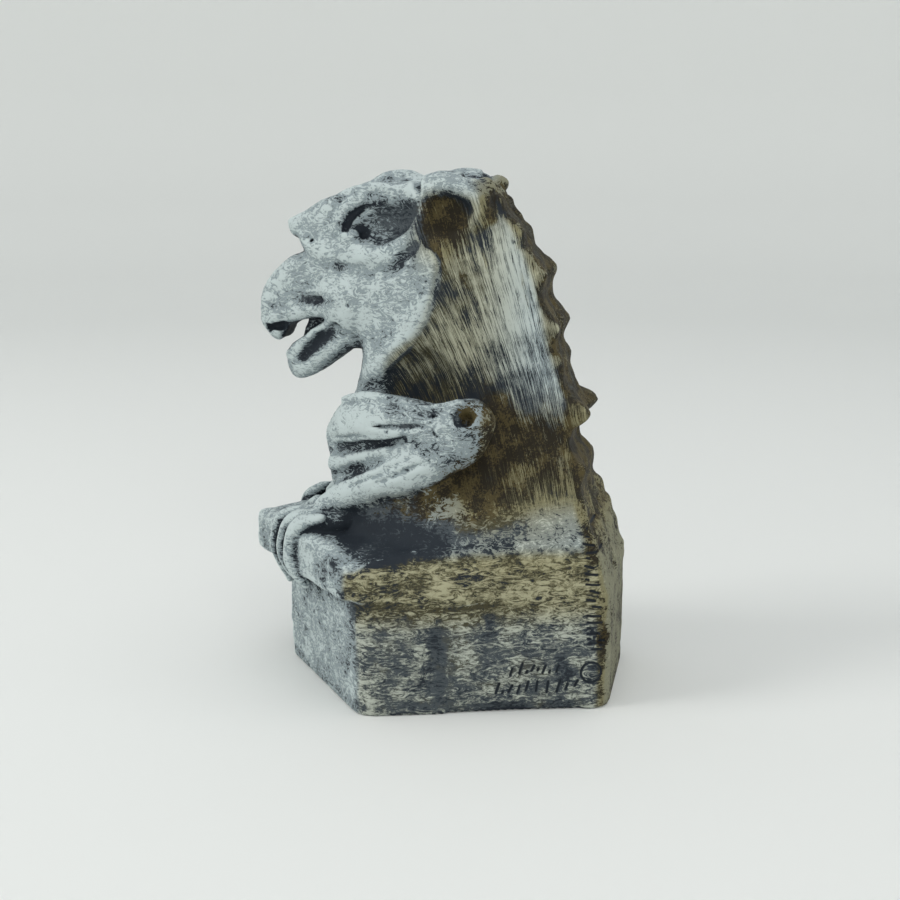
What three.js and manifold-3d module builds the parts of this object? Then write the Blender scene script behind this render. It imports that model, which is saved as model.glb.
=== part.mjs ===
// Stone gargoyle: a small cast souvenir. A beaked, maned creature leans out over the pointed corner of a
// parapet and grips the edge of its slab with both hands. The creature, the slab and the block under it are
// one casting. Millimetres, +Z up, the creature faces -Y, and its underside is the flat face at Z = 0.
import * as THREE from 'three';
import { edgeTable, triTable } from 'three/addons/objects/MarchingCubes.js';
import Module from 'manifold-3d';

// Driving dimensions of the parapet corner
const BLOCK_HEIGHT = 33;
const BLOCK_WIDTH = 90;
const BLOCK_PROW = 34;
const SIDE_LENGTH = 71;
const BACK_WIDTH = 47;
const BLOCK_EDGE_WEAR = 5;
const FRONT_BATTER = 0.02;
const SIDE_BATTER = 0.01;
const BACK_INSET = 2.5;
const BACK_LEAN = 0.35;
const BACK_RISE_LENGTH = 30;
const SLAB_THICKNESS = 15;
const SLAB_SIDE_OVERHANG = 3;
const SLAB_PROW_OVERHANG = 10;
const SLAB_EDGE_WEAR = 4;
const SLAB_CORNER_WEAR = 5;
const SLAB_CORNER_SPREAD = 9;
const SLAB_BACK_SETBACK = 1.5;
const SLAB_UNDERCUT = 1;
const FINGER_REACH = 1.5;

// Driving dimensions of the creature
const FIGURE_HEIGHT = 104;
const FIGURE_SEAT = 17;
const TRUNK_LEAN = 0.12;

// How softly one form runs into the next
const CREASE = 1;
const FOLD = 1.6;
const SWELL = 3;
const ROUNDING = 4;
const FLOW = 6;

// How finely the stone is cut
const CELL = 1.4;
const FACE_LIMIT = 8800;

const slabTop = BLOCK_HEIGHT + SLAB_THICKNESS;
const share = FIGURE_HEIGHT / 100;

// A point of the creature, in hundredths of its height: out from the middle plane, along Y, up from the slab
function at(x, y, z) {
  return new THREE.Vector3(x * share, y * share, slabTop + z * share);
}

function points(list) {
  return list.map((entry) => at(...entry));
}

// Soft joins between distances: a shared skin, a carved hollow and a worn edge
function join(a, b, softness) {
  const near = Math.max(softness - Math.abs(a - b), 0) / softness;
  return Math.min(a, b) - (near * near * softness) / 4;
}

function cut(a, b, softness) {
  return -join(-a, b, softness);
}

function meet(a, b, softness) {
  return -join(-a, -b, softness);
}

function clamp01(value) {
  return Math.min(Math.max(value, 0), 1);
}

function bell(value, centre, spread) {
  const step = (value - centre) / spread;
  return Math.exp(-step * step);
}

// Distance to a rounded blob whose radii are hundredths of the height
function blob(centre, radii, turn = 0) {
  const middle = at(...centre);
  const [rx, ry, rz] = radii.map((radius) => radius * share);
  const cosine = Math.cos(turn);
  const sine = Math.sin(turn);
  return (x, y, z) => {
    const dx = x - middle.x;
    const dy = (y - middle.y) * cosine + (z - middle.z) * sine;
    const dz = (z - middle.z) * cosine - (y - middle.y) * sine;
    const scaled = Math.hypot(dx / rx, dy / ry, dz / rz);
    const slope = Math.hypot(dx / (rx * rx), dy / (ry * ry), dz / (rz * rz));
    return slope > 0 ? (scaled * (scaled - 1)) / slope : -Math.min(rx, ry, rz);
  };
}

// Distance to a limb that follows a smooth line of points and swells from radius to radius
function limb(list, radii, steps = 3) {
  const line = new THREE.CatmullRomCurve3(points(list), false, 'centripetal');
  const count = (list.length - 1) * steps;
  const places = line.getPoints(count);
  const thickness = places.map((place, index) => {
    const along = (index / count) * (radii.length - 1);
    const lower = Math.min(Math.floor(along), radii.length - 2);
    return THREE.MathUtils.lerp(radii[lower], radii[lower + 1], along - lower) * share;
  });
  const reach = new THREE.Sphere().setFromPoints(places);
  const widest = Math.max(...thickness);
  return (x, y, z) => {
    const away = Math.hypot(x - reach.center.x, y - reach.center.y, z - reach.center.z);
    if (away > reach.radius + widest + 12) return away - reach.radius - widest;
    let nearest = Infinity;
    for (let index = 0; index < count; index += 1) {
      const from = places[index];
      const to = places[index + 1];
      const ex = to.x - from.x;
      const ey = to.y - from.y;
      const ez = to.z - from.z;
      const px = x - from.x;
      const py = y - from.y;
      const pz = z - from.z;
      const t = clamp01((px * ex + py * ey + pz * ez) / (ex * ex + ey * ey + ez * ez));
      const gap = Math.hypot(px - ex * t, py - ey * t, pz - ez * t);
      nearest = Math.min(nearest, gap - THREE.MathUtils.lerp(thickness[index], thickness[index + 1], t));
    }
    return nearest;
  };
}

// A smooth value along a line of (place, value) pairs, level beyond both ends
function profile(pairs) {
  const slopes = pairs.slice(1).map(([place, value], index) => (
    (value - pairs[index][1]) / (place - pairs[index][0])
  ));
  const tangents = pairs.map((_, index) => {
    const before = slopes[Math.max(index - 1, 0)];
    const after = slopes[Math.min(index, slopes.length - 1)];
    return before * after > 0 ? (before + after) / 2 : 0;
  });
  return (place) => {
    const next = pairs.findIndex(([start]) => start > place);
    if (next === 0) return pairs[0][1];
    if (next < 0) return pairs[pairs.length - 1][1];
    const [start, first] = pairs[next - 1];
    const [end, last] = pairs[next];
    const span = end - start;
    const t = (place - start) / span;
    const rise = t * t * (3 - 2 * t);
    const bend = t * (1 - t) * ((1 - t) * tangents[next - 1] - t * tangents[next]) * span;
    return THREE.MathUtils.lerp(first, last, rise) + bend;
  };
}

// A side view outline with a half width that changes along Y, both in hundredths of the height
function relief(outline, halfWidth, softness) {
  const corners = outline.map(([y, z]) => new THREE.Vector2(y * share, slabTop + z * share));
  const curve = new THREE.SplineCurve(corners);
  const edge = curve.getPoints(outline.length * 2);
  const width = profile(halfWidth);
  const box = new THREE.Box2().setFromPoints(edge);
  return (x, y, z) => {
    const outside = Math.hypot(
      Math.max(box.min.x - y, y - box.max.x, 0),
      Math.max(box.min.y - z, z - box.max.y, 0),
    );
    if (outside > 12) return outside;
    let nearest = Infinity;
    let inside = false;
    for (let index = 0, last = edge.length - 1; index < edge.length; last = index, index += 1) {
      const ey = edge[last].x - edge[index].x;
      const ez = edge[last].y - edge[index].y;
      const py = y - edge[index].x;
      const pz = z - edge[index].y;
      const length = ey * ey + ez * ez;
      const t = length > 0 ? clamp01((py * ey + pz * ez) / length) : 0;
      nearest = Math.min(nearest, Math.hypot(py - ey * t, pz - ez * t));
      if ((edge[index].y > z) !== (edge[last].y > z) && py < (ey * pz) / ez) inside = !inside;
    }
    return meet(inside ? -nearest : nearest, Math.abs(x) - width(y / share) * share, softness);
  };
}

// A straight face through two plan corners, leaning in by a slope as it rises from a height
function face(from, to, slope = 0, height = 0) {
  const length = Math.hypot(to[0] - from[0], to[1] - from[1]);
  const nx = (to[1] - from[1]) / length;
  const ny = (from[0] - to[0]) / length;
  return (x, y, z) => (x - from[0]) * nx + (y - from[1]) * ny + (z - height) * slope;
}

// The block: pointed in front, with sides that draw in towards a narrow back
const cornerY = -FIGURE_SEAT;
const backY = cornerY + SIDE_LENGTH;
const blockProw = [0, cornerY - BLOCK_PROW];
const blockCorner = [BLOCK_WIDTH / 2, cornerY];
const blockBack = [BACK_WIDTH / 2, backY];
const slabProw = [0, blockProw[1] - SLAB_PROW_OVERHANG];
const slabCorner = [blockCorner[0] + SLAB_SIDE_OVERHANG, cornerY - SLAB_SIDE_OVERHANG];
const slabBack = [blockBack[0] - SLAB_BACK_SETBACK, backY];
const slabFront = face(slabProw, slabCorner);
const slabSide = face(slabCorner, slabBack);
const blockFront = face(blockProw, blockCorner, -FRONT_BATTER, BLOCK_HEIGHT);
const blockSide = face(blockCorner, blockBack, -SIDE_BATTER, BLOCK_HEIGHT);

// The back stands upright behind the block and draws in behind the slab
function roughBack(z) {
  return backY - BACK_INSET - BACK_LEAN * Math.max(z - BLOCK_HEIGHT, 0);
}

// Behind, the block rises through the slab, so that the slab's edge fades out along the side
function block(x, y, z) {
  const walls = meet(blockFront(x, y, z), blockSide(x, y, z), BLOCK_EDGE_WEAR);
  const top = BLOCK_HEIGHT + FOLD + SLAB_THICKNESS * clamp01(y / BACK_RISE_LENGTH);
  return meet(meet(walls, y - roughBack(z), BLOCK_EDGE_WEAR), z - top, FOLD);
}

function slab(x, y, z) {
  const walls = meet(slabFront(x, y, z), slabSide(x, y, z), SLAB_EDGE_WEAR);
  const fromCorner = Math.hypot(x - slabCorner[0], y - slabCorner[1]);
  const top = z - slabTop + SLAB_CORNER_WEAR * bell(fromCorner, 0, SLAB_CORNER_SPREAD);
  const under = BLOCK_HEIGHT - z;
  const outward = Math.max(slabFront(x, y, z), slabSide(x, y, z));
  const slope = (outward + under + SLAB_UNDERCUT) * Math.SQRT1_2;
  const plate = meet(meet(walls, y - roughBack(z), SLAB_EDGE_WEAR), top, SLAB_EDGE_WEAR);
  return meet(meet(plate, under + FOLD, FOLD), slope, FOLD);
}

// The trunk: neck in front, the mane's crest beside it, the scalloped spine behind
const frontLine = profile([
  [-12, -20], [2, -25], [10, -29], [20, -32], [30, -29], [38, -25.5], [46, -23.5], [52, -23], [75, -24],
  [90, -23], [96, -19],
]);
const crestLine = profile([
  [-12, 18], [2, 16], [14, 8], [25, -2], [40, -14], [50, -13], [57, -5], [66, -0.5], [76, 1], [84, -2],
  [96, -4],
]);
const spineLine = profile([
  [-12, 46], [0, 44.4], [8, 41.4], [19, 39.4], [25, 36.4], [36, 36.8], [44, 34.4], [50, 32], [60, 29.5],
  [70, 27], [80, 23], [88, 18.4], [97, 10],
]);
const frontWidth = profile([
  [-12, 22], [8, 16], [22, 13], [34, 10], [50, 8.5], [66, 10], [78, 12], [90, 11], [98, 6],
]);
const crestWidth = profile([
  [-12, 40], [2, 36], [14, 27], [25, 18.6], [38, 17.5], [50, 20.5], [62, 23.5], [76, 24], [86, 20],
  [98, 13],
]);
const spineWidth = profile([
  [-12, 30], [2, 26], [14, 19], [25, 14], [40, 13], [60, 12.5], [80, 11.5], [97, 7],
]);

// The mane steps down behind its crest, most at mid height, and the top of the head falls away to both sides
const CREST_STEP = 2;
const CREST_STEP_PLACE = 64;
const CREST_STEP_SPREAD = 24;
const CREST_RUN = 1.6;
const CROWN_HEIGHT = 97.5;
const CROWN_FALL = 0.12;

// Scallops that stand out of the spine: [height, reach, spread]
const SCALLOPS = [
  [93, 3.2, 3.2], [84, 1.4, 3], [73, 3.6, 4.2], [58, 4, 4], [49, 1.8, 3], [34.5, 6, 3.2], [20, 2, 4],
  [8, 1.4, 4],
];

function scallop(height) {
  return SCALLOPS.reduce((sum, [place, reach, spread]) => sum + reach * bell(height, place, spread), 0);
}

function trunk(x, y, z) {
  const height = (z - slabTop) / share;
  const depth = y / share;
  const aside = Math.abs(x) / share;
  const front = frontLine(height);
  const crest = crestLine(height);
  const spine = spineLine(height);
  const forward = clamp01((depth - front) / (crest - front));
  const backward = clamp01((depth - crest) / (spine - crest));
  const rounded = Math.sin((forward * Math.PI) / 2) ** 0.6;
  const ahead = THREE.MathUtils.lerp(frontWidth(height), crestWidth(height), rounded);
  const edge = spineWidth(height);
  const lobes = scallop(height);
  const step = CREST_STEP * bell(height, CREST_STEP_PLACE, CREST_STEP_SPREAD);
  const behind = THREE.MathUtils.lerp(crestWidth(height) - step, edge + lobes * 0.2, backward);
  const past = clamp01((depth - crest) / CREST_RUN);
  const flank = (aside - THREE.MathUtils.lerp(ahead, behind, past)) * 0.8;
  const nape = (depth - spine - lobes * (0.35 + 0.65 * Math.min(aside / edge, 1))) * 0.85;
  const hull = meet(meet(flank, front - depth, ROUNDING), nape, SWELL);
  const capped = meet(hull, height - CROWN_HEIGHT + CROWN_FALL * Math.abs(depth), ROUNDING) * share;
  const seat = slabSide(x, y, z) + TRUNK_LEAN * Math.abs(z - slabTop);
  return meet(capped, seat, SLAB_EDGE_WEAR);
}

// The head: skull, brow, beak, jaw, lips, eyes and ears
const skull = blob([0, -17, 79], [16, 20, 17]);
const cheek = blob([8.5, -22, 64.5], [9.5, 13, 10.5]);
const brow = relief(
  [[-46.3, 85.6], [-45.8, 83], [-43.4, 81], [-39.5, 79.8], [-32, 79], [-20, 80], [-14, 88], [-21, 94.3],
    [-26.5, 93.6], [-33.7, 91.8], [-40.5, 88.3], [-46.3, 85.6]],
  [[-47, 3.5], [-42, 7.5], [-34, 11], [-26, 13.5], [-16, 14]],
  ROUNDING,
);
const beak = relief(
  [[-24, 80], [-36, 78.5], [-41.4, 76.4], [-45.5, 74.8], [-49.4, 71.5], [-53.4, 66.8], [-55.5, 61],
    [-54.9, 56.3], [-52.6, 52.8], [-49.6, 51], [-47.4, 52.2], [-45.5, 55.6], [-40, 58], [-34, 59], [-29, 60],
    [-22, 58], [-20, 70], [-24, 80]],
  [[-57, 3.6], [-52, 6], [-45, 8], [-36, 10.5], [-26, 13]],
  ROUNDING,
);
const jaw = relief(
  [[-24, 61], [-29, 59], [-34, 56.3], [-39, 53.6], [-43.5, 51.6], [-46.4, 49], [-47.2, 45], [-45.6, 41.5],
    [-42.6, 40.2], [-38, 41.8], [-34, 44.4], [-28, 49], [-22, 52], [-18, 58], [-24, 61]],
  [[-48, 4.5], [-44, 6.8], [-36, 8.5], [-26, 10.5]],
  ROUNDING,
);
const tongue = blob([0, -36, 53.2], [4.4, 10, 4], -0.5);
const lip = limb(
  [[3.2, -53, 57], [5.8, -48.6, 58.4], [7.4, -42.3, 60], [8.8, -37, 61], [10.2, -32, 61.2],
    [10.6, -29.4, 59.4], [9.8, -32, 57], [8.2, -37.4, 53.6], [6.8, -41.6, 50.6], [5.2, -45.2, 47.6]],
  [1.5, 1.6, 1.6, 1.5],
);
const jawRidge = limb([[9.6, -25.9, 54], [8.4, -31.8, 50], [6.2, -38.4, 46.4]], [1.5, 1.6, 1.3]);
const nostril = limb([[4.6, -52.4, 67.6], [6.4, -50, 69.2], [7.4, -47.2, 69.8]], [1, 1.3, 0.9]);
const underEye = limb(
  [[7.5, -38.5, 80], [9.6, -33.7, 77.8], [12.5, -26.8, 77], [15.4, -19.6, 77.8], [17.6, -10.7, 81],
    [18.4, -4.4, 86]],
  [1.8, 2.4, 2.4, 1.8],
);
const socket = blob([17.8, -15, 86.4], [5.4, 9.8, 6.4], 0.25);
const socketCrease = limb(
  [[14, -18.6, 91.4], [14, -23, 88.6], [13.4, -25.6, 85.2], [13.8, -23.8, 83.4], [14.4, -20.6, 82]],
  [1, 1.5, 1.6, 1.2],
);
const browRidge = limb([[12, -28.5, 84.5], [13, -26.4, 89], [13.4, -21.6, 92.5]], [1.6, 1.8, 1.4]);
const eye = blob([12.8, -24.4, 82], [3.6, 3.4, 2.5]);
const ruff = limb(
  [[18.5, -3.8, 86.3], [21.6, -1.2, 80.4], [22.9, 0, 75.8], [22.9, -0.8, 69.7], [22, -3, 62.9],
    [20.8, -7, 55.9], [18.8, -12.8, 49.4], [15.8, -18.6, 44]],
  [1, 1.7, 1.9, 1.8, 1.6, 1.2],
);
const throat = blob([17.5, -4, 41], [4, 9, 9]);
const ear = blob([13.5, 4.5, 91], [6.5, 10, 8.5]);
const earHollow = blob([20.5, 4.6, 90.2], [6, 6, 6.6]);
const earGroove = limb([[21, 2, 87], [22, -0.4, 83], [23, 3, 78]], [3.2, 2.4, 1]);
const forelock = limb(
  [[5, -20.5, 93.8], [4, -16.5, 96.5], [3.4, -12, 96.8], [3, -7, 94.6]],
  [1.6, 2.6, 2.6, 2],
);
const crown = limb(
  [[14, -6, 95], [13.6, 0, 96.4], [12.4, 5, 94.6], [7, 10.5, 93.8], [0, 12.8, 94.2]],
  [2, 2.2, 2, 1.8, 2.4],
);

// The arms: shoulder back to the elbow, forearm forward to the hand, three fingers over the slab's edge
const upperArm = limb(
  [[10, -27, 25.6], [16, -20.5, 30.4], [22, -10, 32.2], [25.6, 3, 32], [25.6, 11, 33]],
  [6.6, 8.4, 7.8, 6.2, 6.2],
);
const elbow = blob([24.5, 10.5, 33], [5.2, 7, 6.2], 0.5);
const forearm = limb(
  [[25.5, 9.5, 28], [25.8, -2, 22], [24, -14, 16], [21, -25, 10.4], [19, -31, 6]],
  [5.4, 6.4, 5.6, 4, 3.6],
);
const chestLump = blob([8, -25.5, 15], [9, 7, 9]);
const armSlits = [
  limb([[17.5, -29, 22.4], [24, -19.6, 25.6], [30, -6, 29.2]], [1.3, 1.8, 1]),
  limb([[14, -31, 13.5], [22, -23, 17], [27.4, -16, 21.4], [31, -9, 25]], [1.4, 1.9, 1.8, 1]),
];
const elbowHollow = blob([28.8, 11.8, 35], [1.6, 2.4, 2.2]);
const palm = blob([18, -35, 2.6], [6, 7.4, 3.4], 0.42);
const thumb = limb([[13, -31, 5], [11.6, -36, 5.4], [11.4, -39, 3]], [2, 2.2, 1.7]);

// A finger runs over the slab's edge, down its front face and in under it
function finger(side, root, drop) {
  const out = (side * share) / slabCorner[0];
  const edgeY = THREE.MathUtils.lerp(slabProw[1], slabCorner[1], out) / share;
  const overhang = -FINGER_REACH / share;
  const lower = -SLAB_THICKNESS / share;
  return limb(
    [[side + 3, root, 4.6], [side + 1, edgeY + 3.4, 2.8], [side, edgeY + 0.4, 0.4],
      [side, edgeY + overhang, lower * 0.28], [side + 0.2, edgeY + overhang, lower * 0.6],
      [side + 0.6, edgeY + 0.6, lower * 0.85], [side + 1.2, edgeY + 3, lower * drop]],
    [1.9, 2.1, 2.2, 1.9, 1.9, 1.7, 1.3],
  );
}

const fingers = [finger(14, -37, 1.16), finger(18, -34, 1.04), finger(22.2, -31, 1.06)];

// One distance for the whole casting, the far side the mirror of the near one
function casting(x, y, z) {
  const side = Math.abs(x);
  const height = (z - slabTop) / share;
  const parapet = join(block(side, y, z), slab(side, y, z), SWELL);
  let stone = join(parapet, trunk(side, y, z), FLOW);
  if (height > -4 && height < 52) {
    let arm = join(upperArm(side, y, z), elbow(side, y, z), SWELL);
    arm = join(arm, chestLump(side, y, z), SWELL);
    arm = join(arm, forearm(side, y, z), SWELL);
    for (const slit of armSlits) {
      arm = cut(arm, slit(side, y, z), FOLD);
    }
    stone = join(stone, cut(arm, elbowHollow(side, y, z), CREASE), SWELL);
  }
  if (y < 0 && z < slabTop + 16 * share) {
    let hand = join(palm(side, y, z), thumb(side, y, z), FOLD);
    for (const digit of fingers) {
      hand = join(hand, digit(side, y, z), CREASE);
    }
    stone = join(stone, hand, FOLD);
  }
  if (height > 30) {
    stone = join(stone, skull(side, y, z), FLOW);
    stone = join(stone, cheek(side, y, z), FLOW);
    stone = join(stone, join(forelock(side, y, z), crown(side, y, z), FOLD), SWELL);
    stone = join(stone, join(ruff(side, y, z), ear(side, y, z), SWELL), ROUNDING);
    stone = cut(stone, throat(side, y, z), ROUNDING);
    stone = join(stone, brow(side, y, z), SWELL);
    let mouth = join(beak(side, y, z), jaw(side, y, z), CREASE);
    mouth = cut(mouth, tongue(side, y, z), FOLD);
    stone = join(stone, mouth, SWELL);
    stone = join(stone, underEye(side, y, z), SWELL);
    stone = cut(stone, socket(side, y, z), SWELL);
    stone = cut(stone, socketCrease(side, y, z), FOLD);
    stone = join(stone, browRidge(side, y, z), FOLD);
    stone = join(stone, eye(side, y, z), CREASE);
    stone = join(stone, join(lip(side, y, z), jawRidge(side, y, z), FOLD), FOLD);
    stone = cut(stone, nostril(side, y, z), CREASE);
    stone = cut(stone, earHollow(side, y, z), FOLD);
    stone = cut(stone, earGroove(side, y, z), FOLD);
  }
  return Math.max(stone, -z - CELL * 2);
}

// Walks the space around the casting in small cells and lays faces where the distance changes sign
function skin(distance, bounds, cell) {
  const size = bounds.getSize(new THREE.Vector3()).divideScalar(cell).ceil();
  const [nx, ny, nz] = [size.x + 1, size.y + 1, size.z + 1];
  const values = new Float32Array(nx * ny * nz);
  const stride = 4;
  const far = cell * stride * 2;
  for (let k = 0; k < nz; k += stride) {
    for (let j = 0; j < ny; j += stride) {
      for (let i = 0; i < nx; i += stride) {
        const half = (stride - 1) / 2;
        const middle = distance(
          bounds.min.x + (i + half) * cell,
          bounds.min.y + (j + half) * cell,
          bounds.min.z + (k + half) * cell,
        );
        for (let c = k; c < Math.min(k + stride, nz); c += 1) {
          for (let b = j; b < Math.min(j + stride, ny); b += 1) {
            for (let a = i; a < Math.min(i + stride, nx); a += 1) {
              const place = a + nx * (b + ny * c);
              values[place] = Math.abs(middle) > far ? middle : distance(
                bounds.min.x + a * cell,
                bounds.min.y + b * cell,
                bounds.min.z + c * cell,
              );
            }
          }
        }
      }
    }
  }
  const corners = [[0, 0, 0], [1, 0, 0], [1, 1, 0], [0, 1, 0], [0, 0, 1], [1, 0, 1], [1, 1, 1], [0, 1, 1]];
  const edges = [
    [0, 1], [1, 2], [3, 2], [0, 3], [4, 5], [5, 6], [7, 6], [4, 7], [0, 4], [1, 5], [2, 6], [3, 7],
  ];
  const vertices = [];
  const faces = [];
  const known = new Map();
  const vertexOn = (i, j, k, edge) => {
    const [from, to] = edges[edge].map((corner) => corners[corner]);
    const start = i + from[0] + nx * (j + from[1] + ny * (k + from[2]));
    const end = i + to[0] + nx * (j + to[1] + ny * (k + to[2]));
    const key = start * 3 + [1, nx, nx * ny].indexOf(end - start);
    if (!known.has(key)) {
      const t = THREE.MathUtils.clamp(values[start] / (values[start] - values[end]), 0.04, 0.96);
      known.set(key, vertices.length);
      vertices.push(new THREE.Vector3(
        bounds.min.x + (i + THREE.MathUtils.lerp(from[0], to[0], t)) * cell,
        bounds.min.y + (j + THREE.MathUtils.lerp(from[1], to[1], t)) * cell,
        bounds.min.z + (k + THREE.MathUtils.lerp(from[2], to[2], t)) * cell,
      ));
    }
    return known.get(key);
  };
  for (let k = 0; k < nz - 1; k += 1) {
    for (let j = 0; j < ny - 1; j += 1) {
      for (let i = 0; i < nx - 1; i += 1) {
        let cube = 0;
        corners.forEach(([a, b, c], bit) => {
          if (values[i + a + nx * (j + b + ny * (k + c))] < 0) cube |= 1 << bit;
        });
        if (edgeTable[cube] !== 0) {
          for (let slot = cube * 16; triTable[slot] !== -1; slot += 3) {
            faces.push([0, 2, 1].map((corner) => vertexOn(i, j, k, triTable[slot + corner])));
          }
        }
      }
    }
  }
  return { vertices, faces };
}

// A queue that gives the cheapest entry first
class Queue {
  constructor() {
    this.items = [];
  }

  push(item) {
    const { items } = this;
    let place = items.length;
    items.push(item);
    while (place > 0) {
      const parent = (place - 1) >> 1;
      if (items[parent].cost <= item.cost) break;
      items[place] = items[parent];
      place = parent;
    }
    items[place] = item;
  }

  pop() {
    const { items } = this;
    const first = items[0];
    const item = items.pop();
    if (items.length > 0) {
      let place = 0;
      for (;;) {
        let child = place * 2 + 1;
        if (child >= items.length) break;
        if (child + 1 < items.length && items[child + 1].cost < items[child].cost) child += 1;
        if (items[child].cost >= item.cost) break;
        items[place] = items[child];
        place = child;
      }
      items[place] = item;
    }
    return first;
  }
}

// Folds short edges away where the surface is flattest, until the faces are few enough
function thin({ vertices, faces }, limit) {
  const around = vertices.map(() => new Set());
  const errors = vertices.map(() => new Float64Array(10));
  const normal = (a, b, c) => b.clone().sub(a).cross(c.clone().sub(a));
  faces.forEach((corners, index) => {
    const [a, b, c] = corners.map((corner) => vertices[corner]);
    const across = normal(a, b, c);
    const area = across.length();
    if (area > 0) across.divideScalar(area);
    const plane = [across.x, across.y, across.z, -across.dot(a)];
    corners.forEach((corner) => {
      around[corner].add(index);
      let slot = 0;
      for (let row = 0; row < 4; row += 1) {
        for (let column = row; column < 4; column += 1) {
          errors[corner][slot] += plane[row] * plane[column] * area;
          slot += 1;
        }
      }
    });
  });
  const costAt = (error, p) => error[0] * p.x * p.x + 2 * error[1] * p.x * p.y + 2 * error[2] * p.x * p.z
    + 2 * error[3] * p.x + error[4] * p.y * p.y + 2 * error[5] * p.y * p.z + 2 * error[6] * p.y
    + error[7] * p.z * p.z + 2 * error[8] * p.z + error[9];
  const stamp = new Int32Array(vertices.length);
  const queue = new Queue();
  const solver = new THREE.Matrix3();
  const offer = (a, b) => {
    const error = errors[a].map((value, slot) => value + errors[b][slot]);
    const middle = vertices[a].clone().add(vertices[b]).multiplyScalar(0.5);
    const options = [middle, vertices[a], vertices[b]];
    solver.set(error[0], error[1], error[2], error[1], error[4], error[5], error[2], error[5], error[7]);
    if (Math.abs(solver.determinant()) > 1e-4) {
      const best = new THREE.Vector3(-error[3], -error[6], -error[8]).applyMatrix3(solver.invert());
      if (best.distanceTo(middle) < vertices[a].distanceTo(vertices[b])) options.unshift(best);
    }
    const costs = options.map((option) => costAt(error, option));
    const least = costs.indexOf(Math.min(...costs));
    const cost = Math.max(costs[least], 0) + 1e-5 * vertices[a].distanceToSquared(vertices[b]);
    queue.push({ a, b, place: options[least].clone(), error, cost, stampA: stamp[a], stampB: stamp[b] });
  };
  const neighbours = (vertex) => {
    const ring = new Set();
    around[vertex].forEach((index) => faces[index].forEach((corner) => ring.add(corner)));
    ring.delete(vertex);
    return ring;
  };
  vertices.forEach((_, vertex) => neighbours(vertex).forEach((other) => {
    if (other > vertex) offer(vertex, other);
  }));
  const flips = (vertex, other, place) => [...around[vertex]].some((index) => {
    if (faces[index].includes(other)) return false;
    const before = faces[index].map((corner) => vertices[corner]);
    const after = faces[index].map((corner) => (corner === vertex ? place : vertices[corner]));
    const was = normal(...before).normalize();
    const now = normal(...after);
    const area = now.length();
    return area < 1e-3 || was.dot(now) < 0.25 * area;
  });
  let left = faces.length;
  while (left > limit && queue.items.length > 0) {
    const { a, b, place, error, stampA, stampB } = queue.pop();
    if (stamp[a] !== stampA || stamp[b] !== stampB || around[a].size === 0 || around[b].size === 0) continue;
    const ringA = neighbours(a);
    const shared = [...neighbours(b)].filter((corner) => ringA.has(corner));
    if (shared.length !== 2 || flips(a, b, place) || flips(b, a, place)) continue;
    vertices[a].copy(place);
    errors[a] = error;
    around[b].forEach((index) => {
      const corners = faces[index];
      if (corners.includes(a)) {
        corners.forEach((corner) => around[corner].delete(index));
        left -= 1;
      } else {
        corners[corners.indexOf(b)] = a;
        around[a].add(index);
      }
    });
    around[b].clear();
    stamp[a] += 1;
    stamp[b] += 1;
    neighbours(a).forEach((other) => offer(a, other));
  }
  const kept = new Set();
  around.forEach((set) => set.forEach((index) => kept.add(index)));
  const renumber = new Map();
  const result = { vertices: [], faces: [] };
  kept.forEach((index) => result.faces.push(faces[index].map((corner) => {
    if (!renumber.has(corner)) {
      renumber.set(corner, result.vertices.length);
      result.vertices.push(vertices[corner]);
    }
    return renumber.get(corner);
  })));
  return result;
}

const wasm = await Module();
wasm.setup();

function solidOf({ vertices, faces }) {
  return new wasm.Manifold(new wasm.Mesh({
    numProp: 3,
    vertProperties: new Float32Array(vertices.flatMap((vertex) => vertex.toArray())),
    triVerts: new Uint32Array(faces.flat()),
  }));
}

function facesOf(solid) {
  const { vertProperties, triVerts } = solid.getMesh();
  const vertices = [];
  const faces = [];
  for (let index = 0; index < vertProperties.length; index += 3) {
    vertices.push(new THREE.Vector3().fromArray(vertProperties, index));
  }
  for (let index = 0; index < triVerts.length; index += 3) {
    faces.push(Array.from(triVerts.subarray(index, index + 3)));
  }
  return { vertices, faces };
}

// Everything below a height, to cut the casting off flat where it stands
function floorBlock(top, width, depth, height) {
  const box = new THREE.BoxGeometry(width, depth, height);
  const corners = [];
  const order = [];
  const place = box.getAttribute('position');
  const known = new Map();
  for (let index = 0; index < place.count; index += 1) {
    const corner = new THREE.Vector3().fromBufferAttribute(place, index);
    const key = corner.toArray().join();
    if (!known.has(key)) {
      known.set(key, corners.length);
      corners.push(corner.setZ(corner.z + top - height / 2));
    }
    order.push(known.get(key));
  }
  const list = Array.from(box.index.array, (index) => order[index]);
  const faces = [];
  for (let index = 0; index < list.length; index += 3) {
    faces.push(list.slice(index, index + 3));
  }
  return solidOf({ vertices: corners, faces });
}

const margin = CELL * 3;
const frontY = Math.min(slabProw[1], -57 * share);
const rearY = Math.max(backY, 50 * share);
const peak = slabTop + Math.max(FIGURE_HEIGHT, CROWN_HEIGHT * share);
const bounds = new THREE.Box3(
  new THREE.Vector3(-slabCorner[0], frontY, 0),
  new THREE.Vector3(slabCorner[0], rearY, peak),
).expandByScalar(margin);
const floorSize = [BLOCK_WIDTH * 3, SIDE_LENGTH * 4, margin * 3];
const rough = solidOf(skin(casting, bounds, CELL)).subtract(floorBlock(-CELL, ...floorSize));
const figure = thin(facesOf(rough), FACE_LIMIT);
const shape = solidOf(figure).subtract(floorBlock(0, ...floorSize)).getMesh();
const geometry = new THREE.BufferGeometry();
geometry.setAttribute('position', new THREE.BufferAttribute(shape.vertProperties, 3));
geometry.setIndex(new THREE.BufferAttribute(shape.triVerts, 1));
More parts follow.
